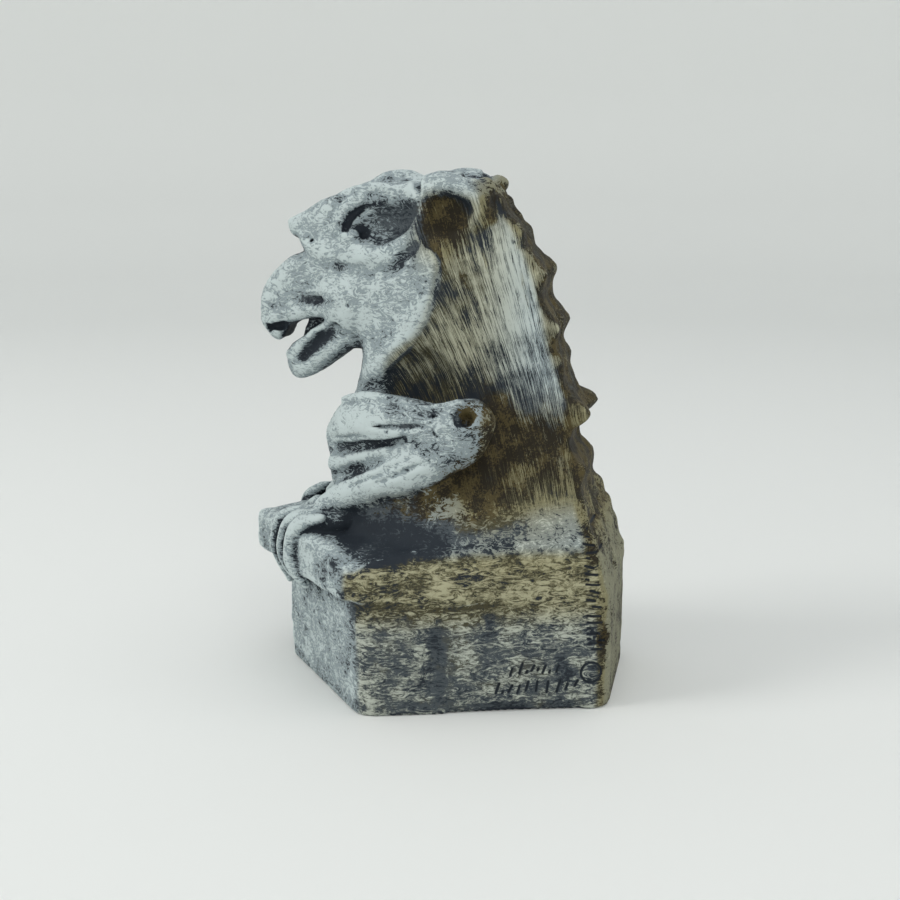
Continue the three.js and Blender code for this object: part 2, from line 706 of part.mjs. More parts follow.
geometry.computeBoundingBox();
const centre = geometry.boundingBox.getCenter(new THREE.Vector3());
geometry.translate(-centre.x, -centre.y, 0);
geometry.computeVertexNormals();

const stone = new THREE.MeshStandardMaterial({ color: 0x8d949a, roughness: 0.92, metalness: 0 });
const gargoyle = new THREE.Mesh(geometry, stone);
gargoyle.name = 'gargoyle';

const part = new THREE.Group();
part.add(gargoyle);

export default part;
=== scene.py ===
# A small cast-stone gargoyle on the pointed corner of a parapet, painted dark and brushed with pale paint.
# The scene is in metres. The carving is worked out in millimetres. It faces -Y and stands at height 0.
import itertools

import bmesh
import bpy
import numpy as np
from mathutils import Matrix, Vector
from mathutils.bvhtree import BVHTree


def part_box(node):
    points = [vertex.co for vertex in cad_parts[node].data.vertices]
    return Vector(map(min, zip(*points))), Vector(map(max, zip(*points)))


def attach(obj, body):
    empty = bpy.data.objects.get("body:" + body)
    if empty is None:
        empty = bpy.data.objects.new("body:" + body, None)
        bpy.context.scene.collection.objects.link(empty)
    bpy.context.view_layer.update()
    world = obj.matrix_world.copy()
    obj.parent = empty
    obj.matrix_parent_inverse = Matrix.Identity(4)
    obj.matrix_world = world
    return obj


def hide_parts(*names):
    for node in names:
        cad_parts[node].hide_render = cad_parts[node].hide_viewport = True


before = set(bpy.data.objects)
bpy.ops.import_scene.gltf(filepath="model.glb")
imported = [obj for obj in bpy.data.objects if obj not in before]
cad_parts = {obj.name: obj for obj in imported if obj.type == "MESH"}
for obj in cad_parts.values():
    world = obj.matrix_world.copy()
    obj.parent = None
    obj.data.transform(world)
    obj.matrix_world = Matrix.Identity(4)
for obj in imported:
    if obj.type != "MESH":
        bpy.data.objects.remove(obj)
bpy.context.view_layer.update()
solid_low, solid_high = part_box("gargoyle")


# The parapet corner
# The block under the creature is pointed in front and narrow behind. A worn slab lies on it and overhangs
# in front. Both are one casting with the creature, and hold all its weight on a flat underside.
BLOCK_HEIGHT = 33.0
BLOCK_WIDTH = 90.0
BLOCK_PROW = 34.0
SIDE_LENGTH = 71.0
BACK_WIDTH = 47.0
BLOCK_EDGE_WEAR = 5.0
FRONT_BATTER = 0.02
SIDE_BATTER = 0.01
BACK_INSET = 2.5
BACK_LEAN = 0.35
BACK_RISE_LENGTH = 30.0
SLAB_THICKNESS = 15.0
SLAB_SIDE_OVERHANG = 3.0
SLAB_PROW_OVERHANG = 10.0
SLAB_EDGE_WEAR = 4.0
SLAB_CORNER_WEAR = 5.0
SLAB_CORNER_SPREAD = 9.0
SLAB_BACK_SETBACK = 1.5
SLAB_UNDERCUT = 1.0
FIGURE_SEAT = 17.0

# How softly one form runs into the next
CREASE, FOLD, SWELL, ROUNDING, FLOW = 1.0, 1.6, 3.0, 4.0, 6.0


def join(a, b, softness):
    near = np.maximum(softness - np.abs(a - b), 0) / softness
    return np.minimum(a, b) - near * near * softness / 4


def cut(a, b, softness):
    return -join(-a, b, softness)


def meet(a, b, softness):
    return -join(-a, -b, softness)


def bell(value, centre, spread):
    return np.exp(-(((value - centre) / spread) ** 2))


def wall(start, end, batter=0.0, level=0.0):
    """Distance to a straight wall between two plan corners, spreading below a level."""
    length = np.hypot(end[0] - start[0], end[1] - start[1])
    out = ((end[1] - start[1]) / length, (start[0] - end[0]) / length)
    return lambda x, y, z: (x - start[0]) * out[0] + (y - start[1]) * out[1] - (z - level) * batter


slab_top = BLOCK_HEIGHT + SLAB_THICKNESS
corner_y = -FIGURE_SEAT
back_y = corner_y + SIDE_LENGTH
block_prow = (0.0, corner_y - BLOCK_PROW)
block_corner = (BLOCK_WIDTH / 2, corner_y)
block_back = (BACK_WIDTH / 2, back_y)
slab_prow = (0.0, block_prow[1] - SLAB_PROW_OVERHANG)
slab_corner = (block_corner[0] + SLAB_SIDE_OVERHANG, corner_y - SLAB_SIDE_OVERHANG)
slab_back = (block_back[0] - SLAB_BACK_SETBACK, back_y)
slab_front = wall(slab_prow, slab_corner)
slab_side = wall(slab_corner, slab_back)
block_front = wall(block_prow, block_corner, FRONT_BATTER, BLOCK_HEIGHT)
block_side = wall(block_corner, block_back, SIDE_BATTER, BLOCK_HEIGHT)


def rough_back(z):
    return back_y - BACK_INSET - BACK_LEAN * np.maximum(z - BLOCK_HEIGHT, 0)


def block(x, y, z):
    walls = meet(block_front(x, y, z), block_side(x, y, z), BLOCK_EDGE_WEAR)
    top = BLOCK_HEIGHT + FOLD + SLAB_THICKNESS * np.clip(y / BACK_RISE_LENGTH, 0, 1)
    return meet(meet(walls, y - rough_back(z), BLOCK_EDGE_WEAR), z - top, FOLD)


def slab(x, y, z):
    walls = meet(slab_front(x, y, z), slab_side(x, y, z), SLAB_EDGE_WEAR)
    from_corner = np.hypot(x - slab_corner[0], y - slab_corner[1])
    top = z - slab_top + SLAB_CORNER_WEAR * bell(from_corner, 0, SLAB_CORNER_SPREAD)
    under = BLOCK_HEIGHT - z
    outward = np.maximum(slab_front(x, y, z), slab_side(x, y, z))
    slope = (outward + under + SLAB_UNDERCUT) * np.sqrt(0.5)
    plate = meet(meet(walls, y - rough_back(z), SLAB_EDGE_WEAR), top, SLAB_EDGE_WEAR)
    return meet(meet(plate, under + FOLD, FOLD), slope, FOLD)


# The trunk and the mane
# The creature's neck and body rise out of the slab as one mass, cast with it. The mane falls down both
# sides, combed with a stiff tool, and ends behind in a scalloped spine.
FIGURE_HEIGHT = 104.0
TRUNK_LEAN = 0.12
SHARE = FIGURE_HEIGHT / 100

# The mane steps down behind its crest, and the top of the head falls away to both sides
CREST_STEP = 2.0
CREST_STEP_PLACE = 64.0
CREST_STEP_SPREAD = 24.0
CREST_RUN = 1.6
CROWN_HEIGHT = 97.5
CROWN_FALL = 0.12

# How round the front is, how far the scallops swell at the spine's middle and aside, and how much of the
# straight distance counts where a face slopes
FRONT_ROUNDING = 0.6
SCALLOP_MIDDLE = 0.35
SCALLOP_ASIDE = 0.2
FLANK_SLOPE = 0.8
NAPE_SLOPE = 0.85

# Scallops that stand out of the spine: height, reach, spread
SCALLOPS = [
    (93, 3.2, 3.2), (84, 1.4, 3), (73, 3.6, 4.2), (58, 4, 4),
    (49, 1.8, 3), (34.5, 6, 3.2), (20, 2, 4), (8, 1.4, 4),
]


def profile(*pairs):
    """A smooth value along a line of (place, value) pairs, level beyond both ends."""
    places, values = np.array(pairs, float).T
    slopes = np.diff(values) / np.diff(places)
    before = np.concatenate([slopes[:1], slopes])
    after = np.concatenate([slopes, slopes[-1:]])
    tangents = np.where(before * after > 0, (before + after) / 2, 0)

    def at(place):
        place = np.clip(place, places[0], places[-1])
        index = np.clip(np.searchsorted(places, place, side="right") - 1, 0, len(slopes) - 1)
        span = places[index + 1] - places[index]
        t = (place - places[index]) / span
        bend = t * (1 - t) * ((1 - t) * tangents[index] - t * tangents[index + 1]) * span
        return values[index] + (values[index + 1] - values[index]) * t * t * (3 - 2 * t) + bend

    return at


front_line = profile(
    (-12, -20), (2, -25), (10, -29), (20, -32), (30, -29), (38, -25.5), (46, -23.5), (52, -23), (75, -24),
    (90, -23), (96, -19),
)
crest_line = profile(
    (-12, 18), (2, 16), (14, 8), (25, -2), (40, -14), (50, -13), (57, -5), (66, -0.5), (76, 1), (84, -2),
    (96, -4),
)
spine_line = profile(
    (-12, 46), (0, 44.4), (8, 41.4), (19, 39.4), (25, 36.4), (36, 36.8), (44, 34.4), (50, 32), (60, 29.5),
    (70, 27), (80, 23), (88, 18.4), (97, 10),
)
front_width = profile(
    (-12, 22), (8, 16), (22, 13), (34, 10), (50, 8.5), (66, 10), (78, 12), (90, 11), (98, 6),
)
crest_width = profile(
    (-12, 40), (2, 36), (14, 27), (25, 18.6), (38, 17.5), (50, 20.5), (62, 23.5), (76, 24), (86, 20),
    (98, 13),
)
spine_width = profile((-12, 30), (2, 26), (14, 19), (25, 14), (40, 13), (60, 12.5), (80, 11.5), (97, 7))


def scallops(height):
    return sum(reach * bell(height, place, spread) for place, reach, spread in SCALLOPS)


def trunk(x, y, z):
    height = (z - slab_top) / SHARE
    depth = y / SHARE
    aside = x / SHARE
    front, crest, spine = front_line(height), crest_line(height), spine_line(height)
    forward = np.clip((depth - front) / (crest - front), 0, 1)
    backward = np.clip((depth - crest) / (spine - crest), 0, 1)
    rounded = np.sin(forward * np.pi / 2) ** FRONT_ROUNDING
    ahead = front_width(height) + (crest_width(height) - front_width(height)) * rounded
    edge = spine_width(height)
    lobes = scallops(height)
    step = CREST_STEP * bell(height, CREST_STEP_PLACE, CREST_STEP_SPREAD)
    crested = crest_width(height) - step
    behind = crested + (edge + lobes * SCALLOP_ASIDE - crested) * backward
    past = np.clip((depth - crest) / CREST_RUN, 0, 1)
    flank = (aside - ahead - (behind - ahead) * past) * FLANK_SLOPE
    outer = SCALLOP_MIDDLE + (1 - SCALLOP_MIDDLE) * np.minimum(aside / edge, 1)
    nape = (depth - spine - lobes * outer) * NAPE_SLOPE
    hull = meet(meet(flank, front - depth, ROUNDING), nape, SWELL)
    capped = meet(hull, height - CROWN_HEIGHT + CROWN_FALL * np.abs(depth), ROUNDING) * SHARE
    seat = slab_side(x, y, z) + TRUNK_LEAN * np.abs(z - slab_top)
    return meet(capped, seat, SLAB_EDGE_WEAR)


# The head
# A hooked beak under a heavy brow, a small eye deep in its socket, a ruff along the cheek and a hollow ear.
# All of it is carved in the mould, and comes out rounded with thin lips left standing round the open mouth.

# A limb has this many steps from stop to stop, and a form is only roughly right beyond this distance
LIMB_STEPS = 4
EXACT_WITHIN = 12.0


def at(x, y, z):
    """A point of the creature, in hundredths of its height, up from the slab."""
    return np.array([x * SHARE, y * SHARE, slab_top + z * SHARE])


def blob(centre, radii, turn=0.0):
    """Distance to a rounded blob, turned in side view."""
    middle = at(*centre)
    rx, ry, rz = (radius * SHARE for radius in radii)
    cosine, sine = np.cos(turn), np.sin(turn)

    def distance(x, y, z):
        dx = x - middle[0]
        dy = (y - middle[1]) * cosine + (z - middle[2]) * sine
        dz = (z - middle[2]) * cosine - (y - middle[1]) * sine
        scaled = np.sqrt((dx / rx) ** 2 + (dy / ry) ** 2 + (dz / rz) ** 2)
        slope = np.sqrt((dx / rx**2) ** 2 + (dy / ry**2) ** 2 + (dz / rz**2) ** 2)
        return scaled * (scaled - 1) / np.maximum(slope, 1e-9)

    return distance


def curve_point(start, end, leave, arrive, t):
    """A point between start and end of a smooth curve, given how it leaves and arrives."""
    bend = 3 * (end - start) - 2 * leave - arrive
    twist = 2 * (start - end) + leave + arrive
    return start + leave * t + bend * t**2 + twist * t**3


def smooth_line(stops):
    """Even steps along a smooth curve through the stops."""
    ends = [2 * stops[0] - stops[1], 2 * stops[-1] - stops[-2]]
    whole = np.array([ends[0], *stops, ends[1]])
    places = []
    for index in range(1, len(whole) - 2):
        a, b, c, d = whole[index - 1 : index + 3]
        ab, bc, cd = (max(np.linalg.norm(q - p) ** 0.5, 1e-4) for p, q in ((a, b), (b, c), (c, d)))
        leave = ((b - a) / ab - (c - a) / (ab + bc) + (c - b) / bc) * bc
        arrive = ((c - b) / bc - (d - b) / (bc + cd) + (d - c) / cd) * bc
        places += [curve_point(b, c, leave, arrive, t) for t in np.arange(LIMB_STEPS) / LIMB_STEPS]
    places.append(whole[-2])
    return np.array(places)


def limb(stops, radii):
    """Distance to a limb that follows a smooth line and swells from radius to radius."""
    places = smooth_line([at(*stop) for stop in stops])
    along = np.linspace(0, len(radii) - 1, len(places))
    thickness = np.interp(along, np.arange(len(radii)), radii) * SHARE
    middle = (places.min(0) + places.max(0)) / 2
    reach = np.linalg.norm(places - middle, axis=1).max() + thickness.max()

    def distance(x, y, z):
        result = np.sqrt((x - middle[0]) ** 2 + (y - middle[1]) ** 2 + (z - middle[2]) ** 2) - reach
        near = result < EXACT_WITHIN
        point = np.stack([x[near], y[near], z[near]])
        best = np.full(point.shape[1], np.inf)
        for start, end, first, last in zip(places[:-1], places[1:], thickness[:-1], thickness[1:]):
            run = end - start
            away = point - start[:, None]
            t = np.clip((run @ away) / (run @ run), 0, 1)
            away -= run[:, None] * t
            best = np.minimum(best, np.sqrt((away**2).sum(0)) - first - (last - first) * t)
        result[near] = best
        return result

    return distance


def relief(outline, half_widths, softness):
    """Distance to a side view outline with a half width that changes along it."""
    corners = np.array([(y * SHARE, slab_top + z * SHARE) for y, z in outline])
    last = len(corners) - 1
    edge = []
    for place in np.linspace(0, last, len(corners) * 2 + 1):
        index = min(int(place), last)
        t = place - index
        a, b = corners[max(index - 1, 0)], corners[index]
        c, d = corners[min(index + 1, last)], corners[min(index + 2, last)]
        edge.append(curve_point(b, c, (c - a) / 2, (d - b) / 2, t))
    edge = np.array(edge)
    width = profile(*half_widths)
    low, high = edge.min(0), edge.max(0)

    def distance(x, y, z):
        beyond_y = np.maximum(np.maximum(low[0] - y, y - high[0]), 0)
        beyond_z = np.maximum(np.maximum(low[1] - z, z - high[1]), 0)
        result = np.hypot(beyond_y, beyond_z)
        near = result <= EXACT_WITHIN
        py, pz = y[near], z[near]
        best = np.full(py.shape, np.inf)
        inside = np.zeros(py.shape, bool)
        for (ay, az), (by, bz) in zip(edge, np.roll(edge, 1, axis=0)):
            ey, ez = by - ay, bz - az
            length = ey * ey + ez * ez
            t = np.clip(((py - ay) * ey + (pz - az) * ez) / length, 0, 1) if length > 0 else 0
            best = np.minimum(best, np.hypot(py - ay - ey * t, pz - az - ez * t))
            if ez != 0:
                inside ^= ((az > pz) != (bz > pz)) & (py - ay < ey * (pz - az) / ez)
        side = np.where(inside, -best, best)
        result[near] = meet(side, x[near] - width(py / SHARE) * SHARE, softness)
        return result

    return distance


skull = blob((0, -17, 79), (16, 20, 17))
cheek = blob((8.5, -22, 64.5), (9.5, 13, 10.5))
brow = relief(
    [(-46.3, 85.6), (-45.8, 83), (-43.4, 81), (-39.5, 79.8), (-32, 79), (-20, 80), (-14, 88), (-21, 94.3),
     (-26.5, 93.6), (-33.7, 91.8), (-40.5, 88.3), (-46.3, 85.6)],
    [(-47, 3.5), (-42, 7.5), (-34, 11), (-26, 13.5), (-16, 14)],
    ROUNDING,
)
beak = relief(
    [(-24, 80), (-36, 78.5), (-41.4, 76.4), (-45.5, 74.8), (-49.4, 71.5), (-53.4, 66.8), (-55.5, 61),
     (-54.9, 56.3), (-52.6, 52.8), (-49.6, 51), (-47.4, 52.2), (-45.5, 55.6), (-40, 58), (-34, 59),
     (-29, 60), (-22, 58), (-20, 70), (-24, 80)],
    [(-57, 3.6), (-52, 6), (-45, 8), (-36, 10.5), (-26, 13)],
    ROUNDING,
)
jaw = relief(
    [(-24, 61), (-29, 59), (-34, 56.3), (-39, 53.6), (-43.5, 51.6), (-46.4, 49), (-47.2, 45), (-45.6, 41.5),
     (-42.6, 40.2), (-38, 41.8), (-34, 44.4), (-28, 49), (-22, 52), (-18, 58), (-24, 61)],
    [(-48, 4.5), (-44, 6.8), (-36, 8.5), (-26, 10.5)],
    ROUNDING,
)
tongue = blob((0, -36, 53.2), (4.4, 10, 4), -0.5)
lip = limb(
    [(3.2, -53, 57), (5.8, -48.6, 58.4), (7.4, -42.3, 60), (8.8, -37, 61), (10.2, -32, 61.2),
     (10.6, -29.4, 59.4), (9.8, -32, 57), (8.2, -37.4, 53.6), (6.8, -41.6, 50.6), (5.2, -45.2, 47.6)],
    [1.3, 1.5, 1.5, 1.2],
)
jaw_ridge = limb([(9.6, -25.9, 54), (8.4, -31.8, 50), (6.2, -38.4, 46.4)], [1.5, 1.6, 1.3])
gape = relief(
    [(-27, 62), (-34, 61.6), (-39.6, 61), (-40.6, 57), (-42.4, 52.6), (-40, 49), (-33, 52), (-27, 56),
     (-27, 62)],
    [(-42, 2.6), (-34, 5), (-27, 8)],
    CREASE,
)
under_eye = limb(
    [(7.5, -38.5, 80), (9.6, -33.7, 77.8), (12.5, -26.8, 77), (15.4, -19.6, 77.8), (17.6, -10.7, 81),
     (18.4, -4.4, 86)],
    [1.8, 2.4, 2.4, 1.8],
)
socket = blob((17.8, -15, 86.4), (5.4, 9.8, 6.4), 0.25)
brow_ridge = limb([(12, -28.5, 84.5), (13, -26.4, 89), (13.4, -21.6, 92.5)], [1.6, 1.8, 1.4])
eye = blob((12.8, -24.4, 82), (3.6, 3.4, 2.5))
ruff = limb(
    [(18.5, -3.8, 86.3), (21.6, -1.2, 80.4), (22.9, 0, 75.8), (22.9, -0.8, 69.7), (22, -3, 62.9),
     (20.8, -7, 55.9), (18.8, -12.8, 49.4), (15.8, -18.6, 44)],
    [1, 1.7, 1.9, 1.8, 1.6, 1.2],
)
throat = blob((17.5, -4, 41), (4, 9, 9))
ear = blob((13.5, 4.5, 91), (6.5, 10, 8.5))
ear_hollow = blob((20.5, 4.4, 89.4), (6.2, 6.4, 6.4))
ear_groove = limb([(21, 2, 87), (22, -0.4, 83), (23, 3, 78)], [3.2, 2.4, 1])
forelock = limb([(5, -20.5, 93.8), (4, -16.5, 96.5), (3.4, -12, 96.8), (3, -7, 94.6)], [1.6, 2.6, 2.6, 2])
crown = limb([(14, -6, 95), (13.6, 0, 96.4), (12.4, 5, 94.6), (7, 10.5, 93.8), (0, 12.8, 94.2)],
             [2, 2.2, 2, 1.8, 2.4])

# Fine carving of the head, below the size of the main forms: (form, softness)
head_cuts = [
    (limb([(13.6, -17.6, 90.6), (13.4, -21, 89.4), (13.8, -24.4, 86.6), (14.2, -25.8, 84)],
          [0.3, 0.8, 1, 1.1]), 0.7),
    (limb([(14.6, -22.4, 84.6), (13.8, -20.3, 83), (13.9, -21.4, 80.8)], [0.9, 1.2, 0.7]), 0.6),
    (limb([(5.4, -50.4, 69.2), (6.2, -49, 70)], [0.6, 0.4]), 0.4),
    (blob((10.9, -36.4, 80.4), (1.2, 0.62, 0.62)), 0.3),
    (blob((13.9, -27.4, 84.9), (1, 0.4, 0.4)), 0.3),
    (limb([(8.8, -42.4, 63.6), (10.4, -36.4, 63.9), (12.6, -30.6, 64.4), (15, -26, 65.6)],
          [0.3, 0.8, 0.9, 0.4]), 2.2),
    (limb([(4.6, -51, 55.2), (6.4, -46.6, 56)], [1.4, 1.2]), 1),
    (limb([(12.6, -29, 57.2), (10.6, -35, 53.2), (8.1, -40.6, 47.2)], [1.4, 2, 1.5]), 0.8),
    (limb([(9.8, -28.6, 58.8), (8.4, -33, 58), (7, -37.4, 56.4)], [0.8, 1, 0.8]), 0.6),
    (limb([(15, -28, 73.6), (18.8, -19, 72.8), (22, -11, 74.2), (23, -4.6, 80)],
          [0.8, 1.2, 1.4, 0.8]), 2.4),
    (limb([(26, 3.6, 79), (27, 4.6, 73), (26.6, 3.4, 66), (25.4, 0.4, 59), (24, -4.4, 52.6), (22, -10, 47)],
          [1, 1.8, 2.2, 2.6, 2.6, 1.6]), 1.2),
    (limb([(20.5, -2.6, 92), (21.4, -2.4, 87), (23.2, 0, 81)], [1.6, 2, 1]), 1.4),
    (limb([(5, -6.6, 99), (12, -6, 98), (17.6, -4.6, 94.4)], [1, 1.5, 0.8]), 1.4),
    (limb([(0, 9.8, 98.6), (8, 9.4, 98.2), (14.5, 8, 98)], [1.6, 1.7, 1]), 1.4),
]
head_ridges = [
    (limb([(16.4, -4.4, 93.4), (16.8, 1, 96), (17, 6.6, 95), (16.4, 10.4, 92.6)],
          [1.2, 2, 2.2, 1.6]), 2.4),
    (limb([(9, -30.6, 91.4), (11.6, -24, 94), (12.6, -17, 95), (13.4, -9.6, 94.4)],
          [0.9, 1.3, 1.3, 1]), 1.6),
    (blob((9.6, 10.6, 95.2), (3.4, 4.6, 2.6)), 1.2),
]


# The arms and hands
# Each arm folds back to a blunt elbow and forward again to a hand, whose three fingers hook over the slab's
# edge. Two deep folds slit the arm, and the elbow's end is a hollow left rough from the mould.
FINGER_REACH = 1.5

upper_arm = limb([(10, -27, 25.6), (16, -20.5, 30.4), (22, -10, 32.2), (25.6, 3, 32), (25.6, 11, 33)],
                 [6.6, 8.4, 7.8, 6.2, 6.2])
elbow = blob((24.5, 10.5, 33), (5.2, 7, 6.2), 0.5)
forearm = limb([(25.5, 9.5, 28), (25.8, -2, 22), (24, -14, 16), (21, -25, 10.4), (19, -31, 6)],
               [6, 7.2, 6.1, 4.3, 3.6])
chest_lump = blob((8, -25.5, 15), (9, 7, 9))
fold_pad = limb([(16.6, -28.6, 18.6), (21.2, -20, 21.6), (26, -12, 25.4)], [2.6, 3, 1.6])
arm_slits = [
    limb([(17.8, -29, 22.8), (23.6, -19.6, 25.4), (29.4, -6, 29)], [1.5, 1.7, 0.9]),
    limb([(16, -31, 14), (23, -23, 17.6), (27.6, -16, 21.6), (31, -9, 25)], [1.8, 1.9, 1.6, 0.7]),
]
arm_ridges = [
    limb([(17, -26.4, 37.2), (21.5, -19.6, 39), (25.4, -9.4, 38.6), (28.4, 0, 37.6), (27.6, 8, 39)],
         [0.8, 1.2, 1.2, 1.2, 1]),
    limb([(27.4, 8.6, 39), (29.4, 12.6, 35.6), (28.6, 14.6, 30.4), (28.6, 8, 26.4)], [0.9, 1.1, 1.1, 1]),
]
arm_folds = [
    limb([(16, -27.6, 34.4), (22.4, -19, 36), (27, -8, 35.4), (29.6, 3, 35.6)], [0.4, 0.8, 0.8, 0.4]),
    limb([(17, -28.6, 30.2), (24, -20, 31.6), (29.6, -9, 32.4), (31, 0, 33.4)], [0.4, 0.7, 0.8, 0.3]),
    limb([(18, -29.4, 26.6), (25.4, -20, 28.4), (30.6, -10, 30)], [0.3, 0.6, 0.3]),
    limb([(29.6, -16, 15.6), (31.6, -8, 19.4), (32.6, 0, 23.6)], [0.3, 0.7, 0.3]),
    limb([(26.6, -22, 14.6), (30.4, -12, 19.6), (32.4, -3, 25.4)], [0.3, 0.6, 0.3]),
]
elbow_hollows = [
    blob((30.8, 10.6, 36.6), (3, 3.6, 3.4), 0.9),
    blob((28.4, 11, 34.6), (2.2, 1.9, 2)),
    limb([(31, 2.4, 31.6), (30.8, 5.8, 29), (30, 9.4, 27.2)], [0.3, 0.6, 0.3]),
]
palm = blob((18, -35, 2.6), (6, 7.4, 3.4), 0.42)
wrist = blob((20, -29, 3), (4.8, 7.4, 4.8), 0.4)
thumb = limb([(13, -31, 5), (11.6, -36, 5.4), (11.4, -39, 3)], [2, 2.2, 1.7])
tendons = [
    limb([(16.4, -31.4, 6.6), (15.4, -37, 5), (14.8, -40, 3.6)], [0.4, 0.8, 0.5]),
    limb([(20.4, -29.6, 7.2), (19.8, -34.4, 6.2), (19.2, -37.6, 4.2)], [0.4, 0.9, 0.5]),
    limb([(23.6, -29.4, 6.4), (23.6, -33.6, 5.2), (23.4, -36, 3)], [0.4, 0.8, 0.5]),
]


def finger(side, root, drop, girth=1.0):
    """A finger over the slab's edge, down its front face and in under it."""
    out = side * SHARE / slab_corner[0]
    edge_y = (slab_prow[1] + (slab_corner[1] - slab_prow[1]) * out) / SHARE
    overhang = -FINGER_REACH / SHARE
    lower = -SLAB_THICKNESS / SHARE
    return limb(
        [(side + 3, root, 4.6), (side + 1, edge_y + 3.4, 2.8), (side, edge_y + 0.4, 0.4),
         (side, edge_y + overhang, lower * 0.28), (side + 0.2, edge_y + overhang, lower * 0.6),
         (side + 0.6, edge_y + 0.6, lower * 0.85), (side + 1.2, edge_y + 3, lower * drop)],
        [girth * radius for radius in (1.1, 1.9, 2.2, 1.9, 1.9, 1.7, 1.3)],
    )


fingers = [finger(13.9, -37, 1.16, 0.95), finger(18, -34, 1.04, 0.9), finger(22.5, -31, 1.06, 1.05)]


# The casting
# One piece of cast stone. Its skin is walked out in small cells, roughened as hand-worked stone is, and
# carries the worn marks of the near side: a crack, a hollow, two pits and some scratched rows.
CELL = 0.66
BLOCK_CELLS = 4
FINE_WITHIN_BLOCKS = 1.8
MARGIN = 2.0
FACE_LIMIT = 186000
near_cuts = [
    (blob((38.4, 5.4, -31), (2.2, 3.6, 11)), 2.2),
    (limb([(38.2, 4.4, -15.6), (38.3, 4.9, -20), (37.8, 4.2, -25)], [0.5, 0.7, 0.6]), 0.4),
    (limb([(41, -6, -27), (40, -2, -29), (38.8, 2, -31), (38.2, 6, -38)], [0.4, 0.9, 0.8, 0.9]), 0.8),
    (blob((22.2, 48, -26), (1.8, 1.5, 2)), 0.6),
    (blob((20.6, 50.2, -26.2), (1.4, 1.3, 1.8)), 0.5),
    (limb([(36, 8, -45.6), (31, 24, -45.4), (25.6, 42, -45.6)], [0.9, 1.5, 1]), 1.6),
    (limb([(45.4, -16, -15.4), (39.4, 2, -15.9), (33.4, 18, -15)], [1, 1, 0.5]), 0.8),
]


# Where the arms, the hands and the head lie, in hundredths of the creature's height
ARMS_FROM, ARMS_TO, HANDS_TO, HEAD_FROM = -4, 52, 16, 30


def carved(x, y, z):
    """Distance to the stone on either side of the middle plane."""
    side = np.abs(x)
    height = (z - slab_top) / SHARE
    stone = join(join(block(side, y, z), slab(side, y, z), SWELL), trunk(side, y, z), FLOW)
    place = (height > ARMS_FROM) & (height < ARMS_TO)
    here = (side[place], y[place], z[place])
    arm = join(upper_arm(*here), elbow(*here), SWELL)
    arm = join(join(arm, chest_lump(*here), SWELL), forearm(*here), SWELL)
    arm = join(arm, fold_pad(*here), SWELL)
    for ridge in arm_ridges:
        arm = join(arm, ridge(*here), FOLD)
    for slit in arm_slits:
        arm = cut(arm, slit(*here), FOLD)
    for hollow in elbow_hollows + arm_folds:
        arm = cut(arm, hollow(*here), CREASE)
    stone[place] = join(stone[place], arm, SWELL)

    place = (y < 0) & (z < slab_top + HANDS_TO * SHARE)
    here = (side[place], y[place], z[place])
    hand = join(join(palm(*here), wrist(*here), SWELL), thumb(*here), FOLD)
    for tendon in tendons:
        hand = cut(hand, tendon(*here), CREASE)
    for digit in fingers:
        hand = join(hand, digit(*here), CREASE)
    stone[place] = join(stone[place], hand, CREASE)

    place = height > HEAD_FROM
    here = (side[place], y[place], z[place])
    head = join(join(stone[place], skull(*here), FLOW), cheek(*here), FLOW)
    head = join(head, join(forelock(*here), crown(*here), FOLD), SWELL)
    head = join(head, join(ruff(*here), ear(*here), SWELL), ROUNDING)
    head = cut(head, throat(*here), ROUNDING)
    head = join(head, brow(*here), SWELL)
    mouth = cut(join(beak(*here), jaw(*here), CREASE), tongue(*here), FOLD)
    mouth = join(mouth, gape(*here), CREASE)
    head = join(join(head, mouth, SWELL), under_eye(*here), SWELL)
    head = join(cut(head, socket(*here), SWELL), brow_ridge(*here), FOLD)
    head = join(head, eye(*here), CREASE)
    head = join(head, join(lip(*here), jaw_ridge(*here), FOLD), FOLD)
    head = cut(cut(head, ear_hollow(*here), FOLD), ear_groove(*here), FOLD)
    for ridge, softness in head_ridges:
        head = join(head, ridge(*here), softness)
    for hollow, softness in head_cuts:
        head = cut(head, hollow(*here), softness)
    stone[place] = head
    return stone


def near_side(stone, x, y, z):
    """The marks that only the near side has."""
    for hollow, softness in near_cuts:
        stone = cut(stone, hollow(x, y, z), softness)
    return stone


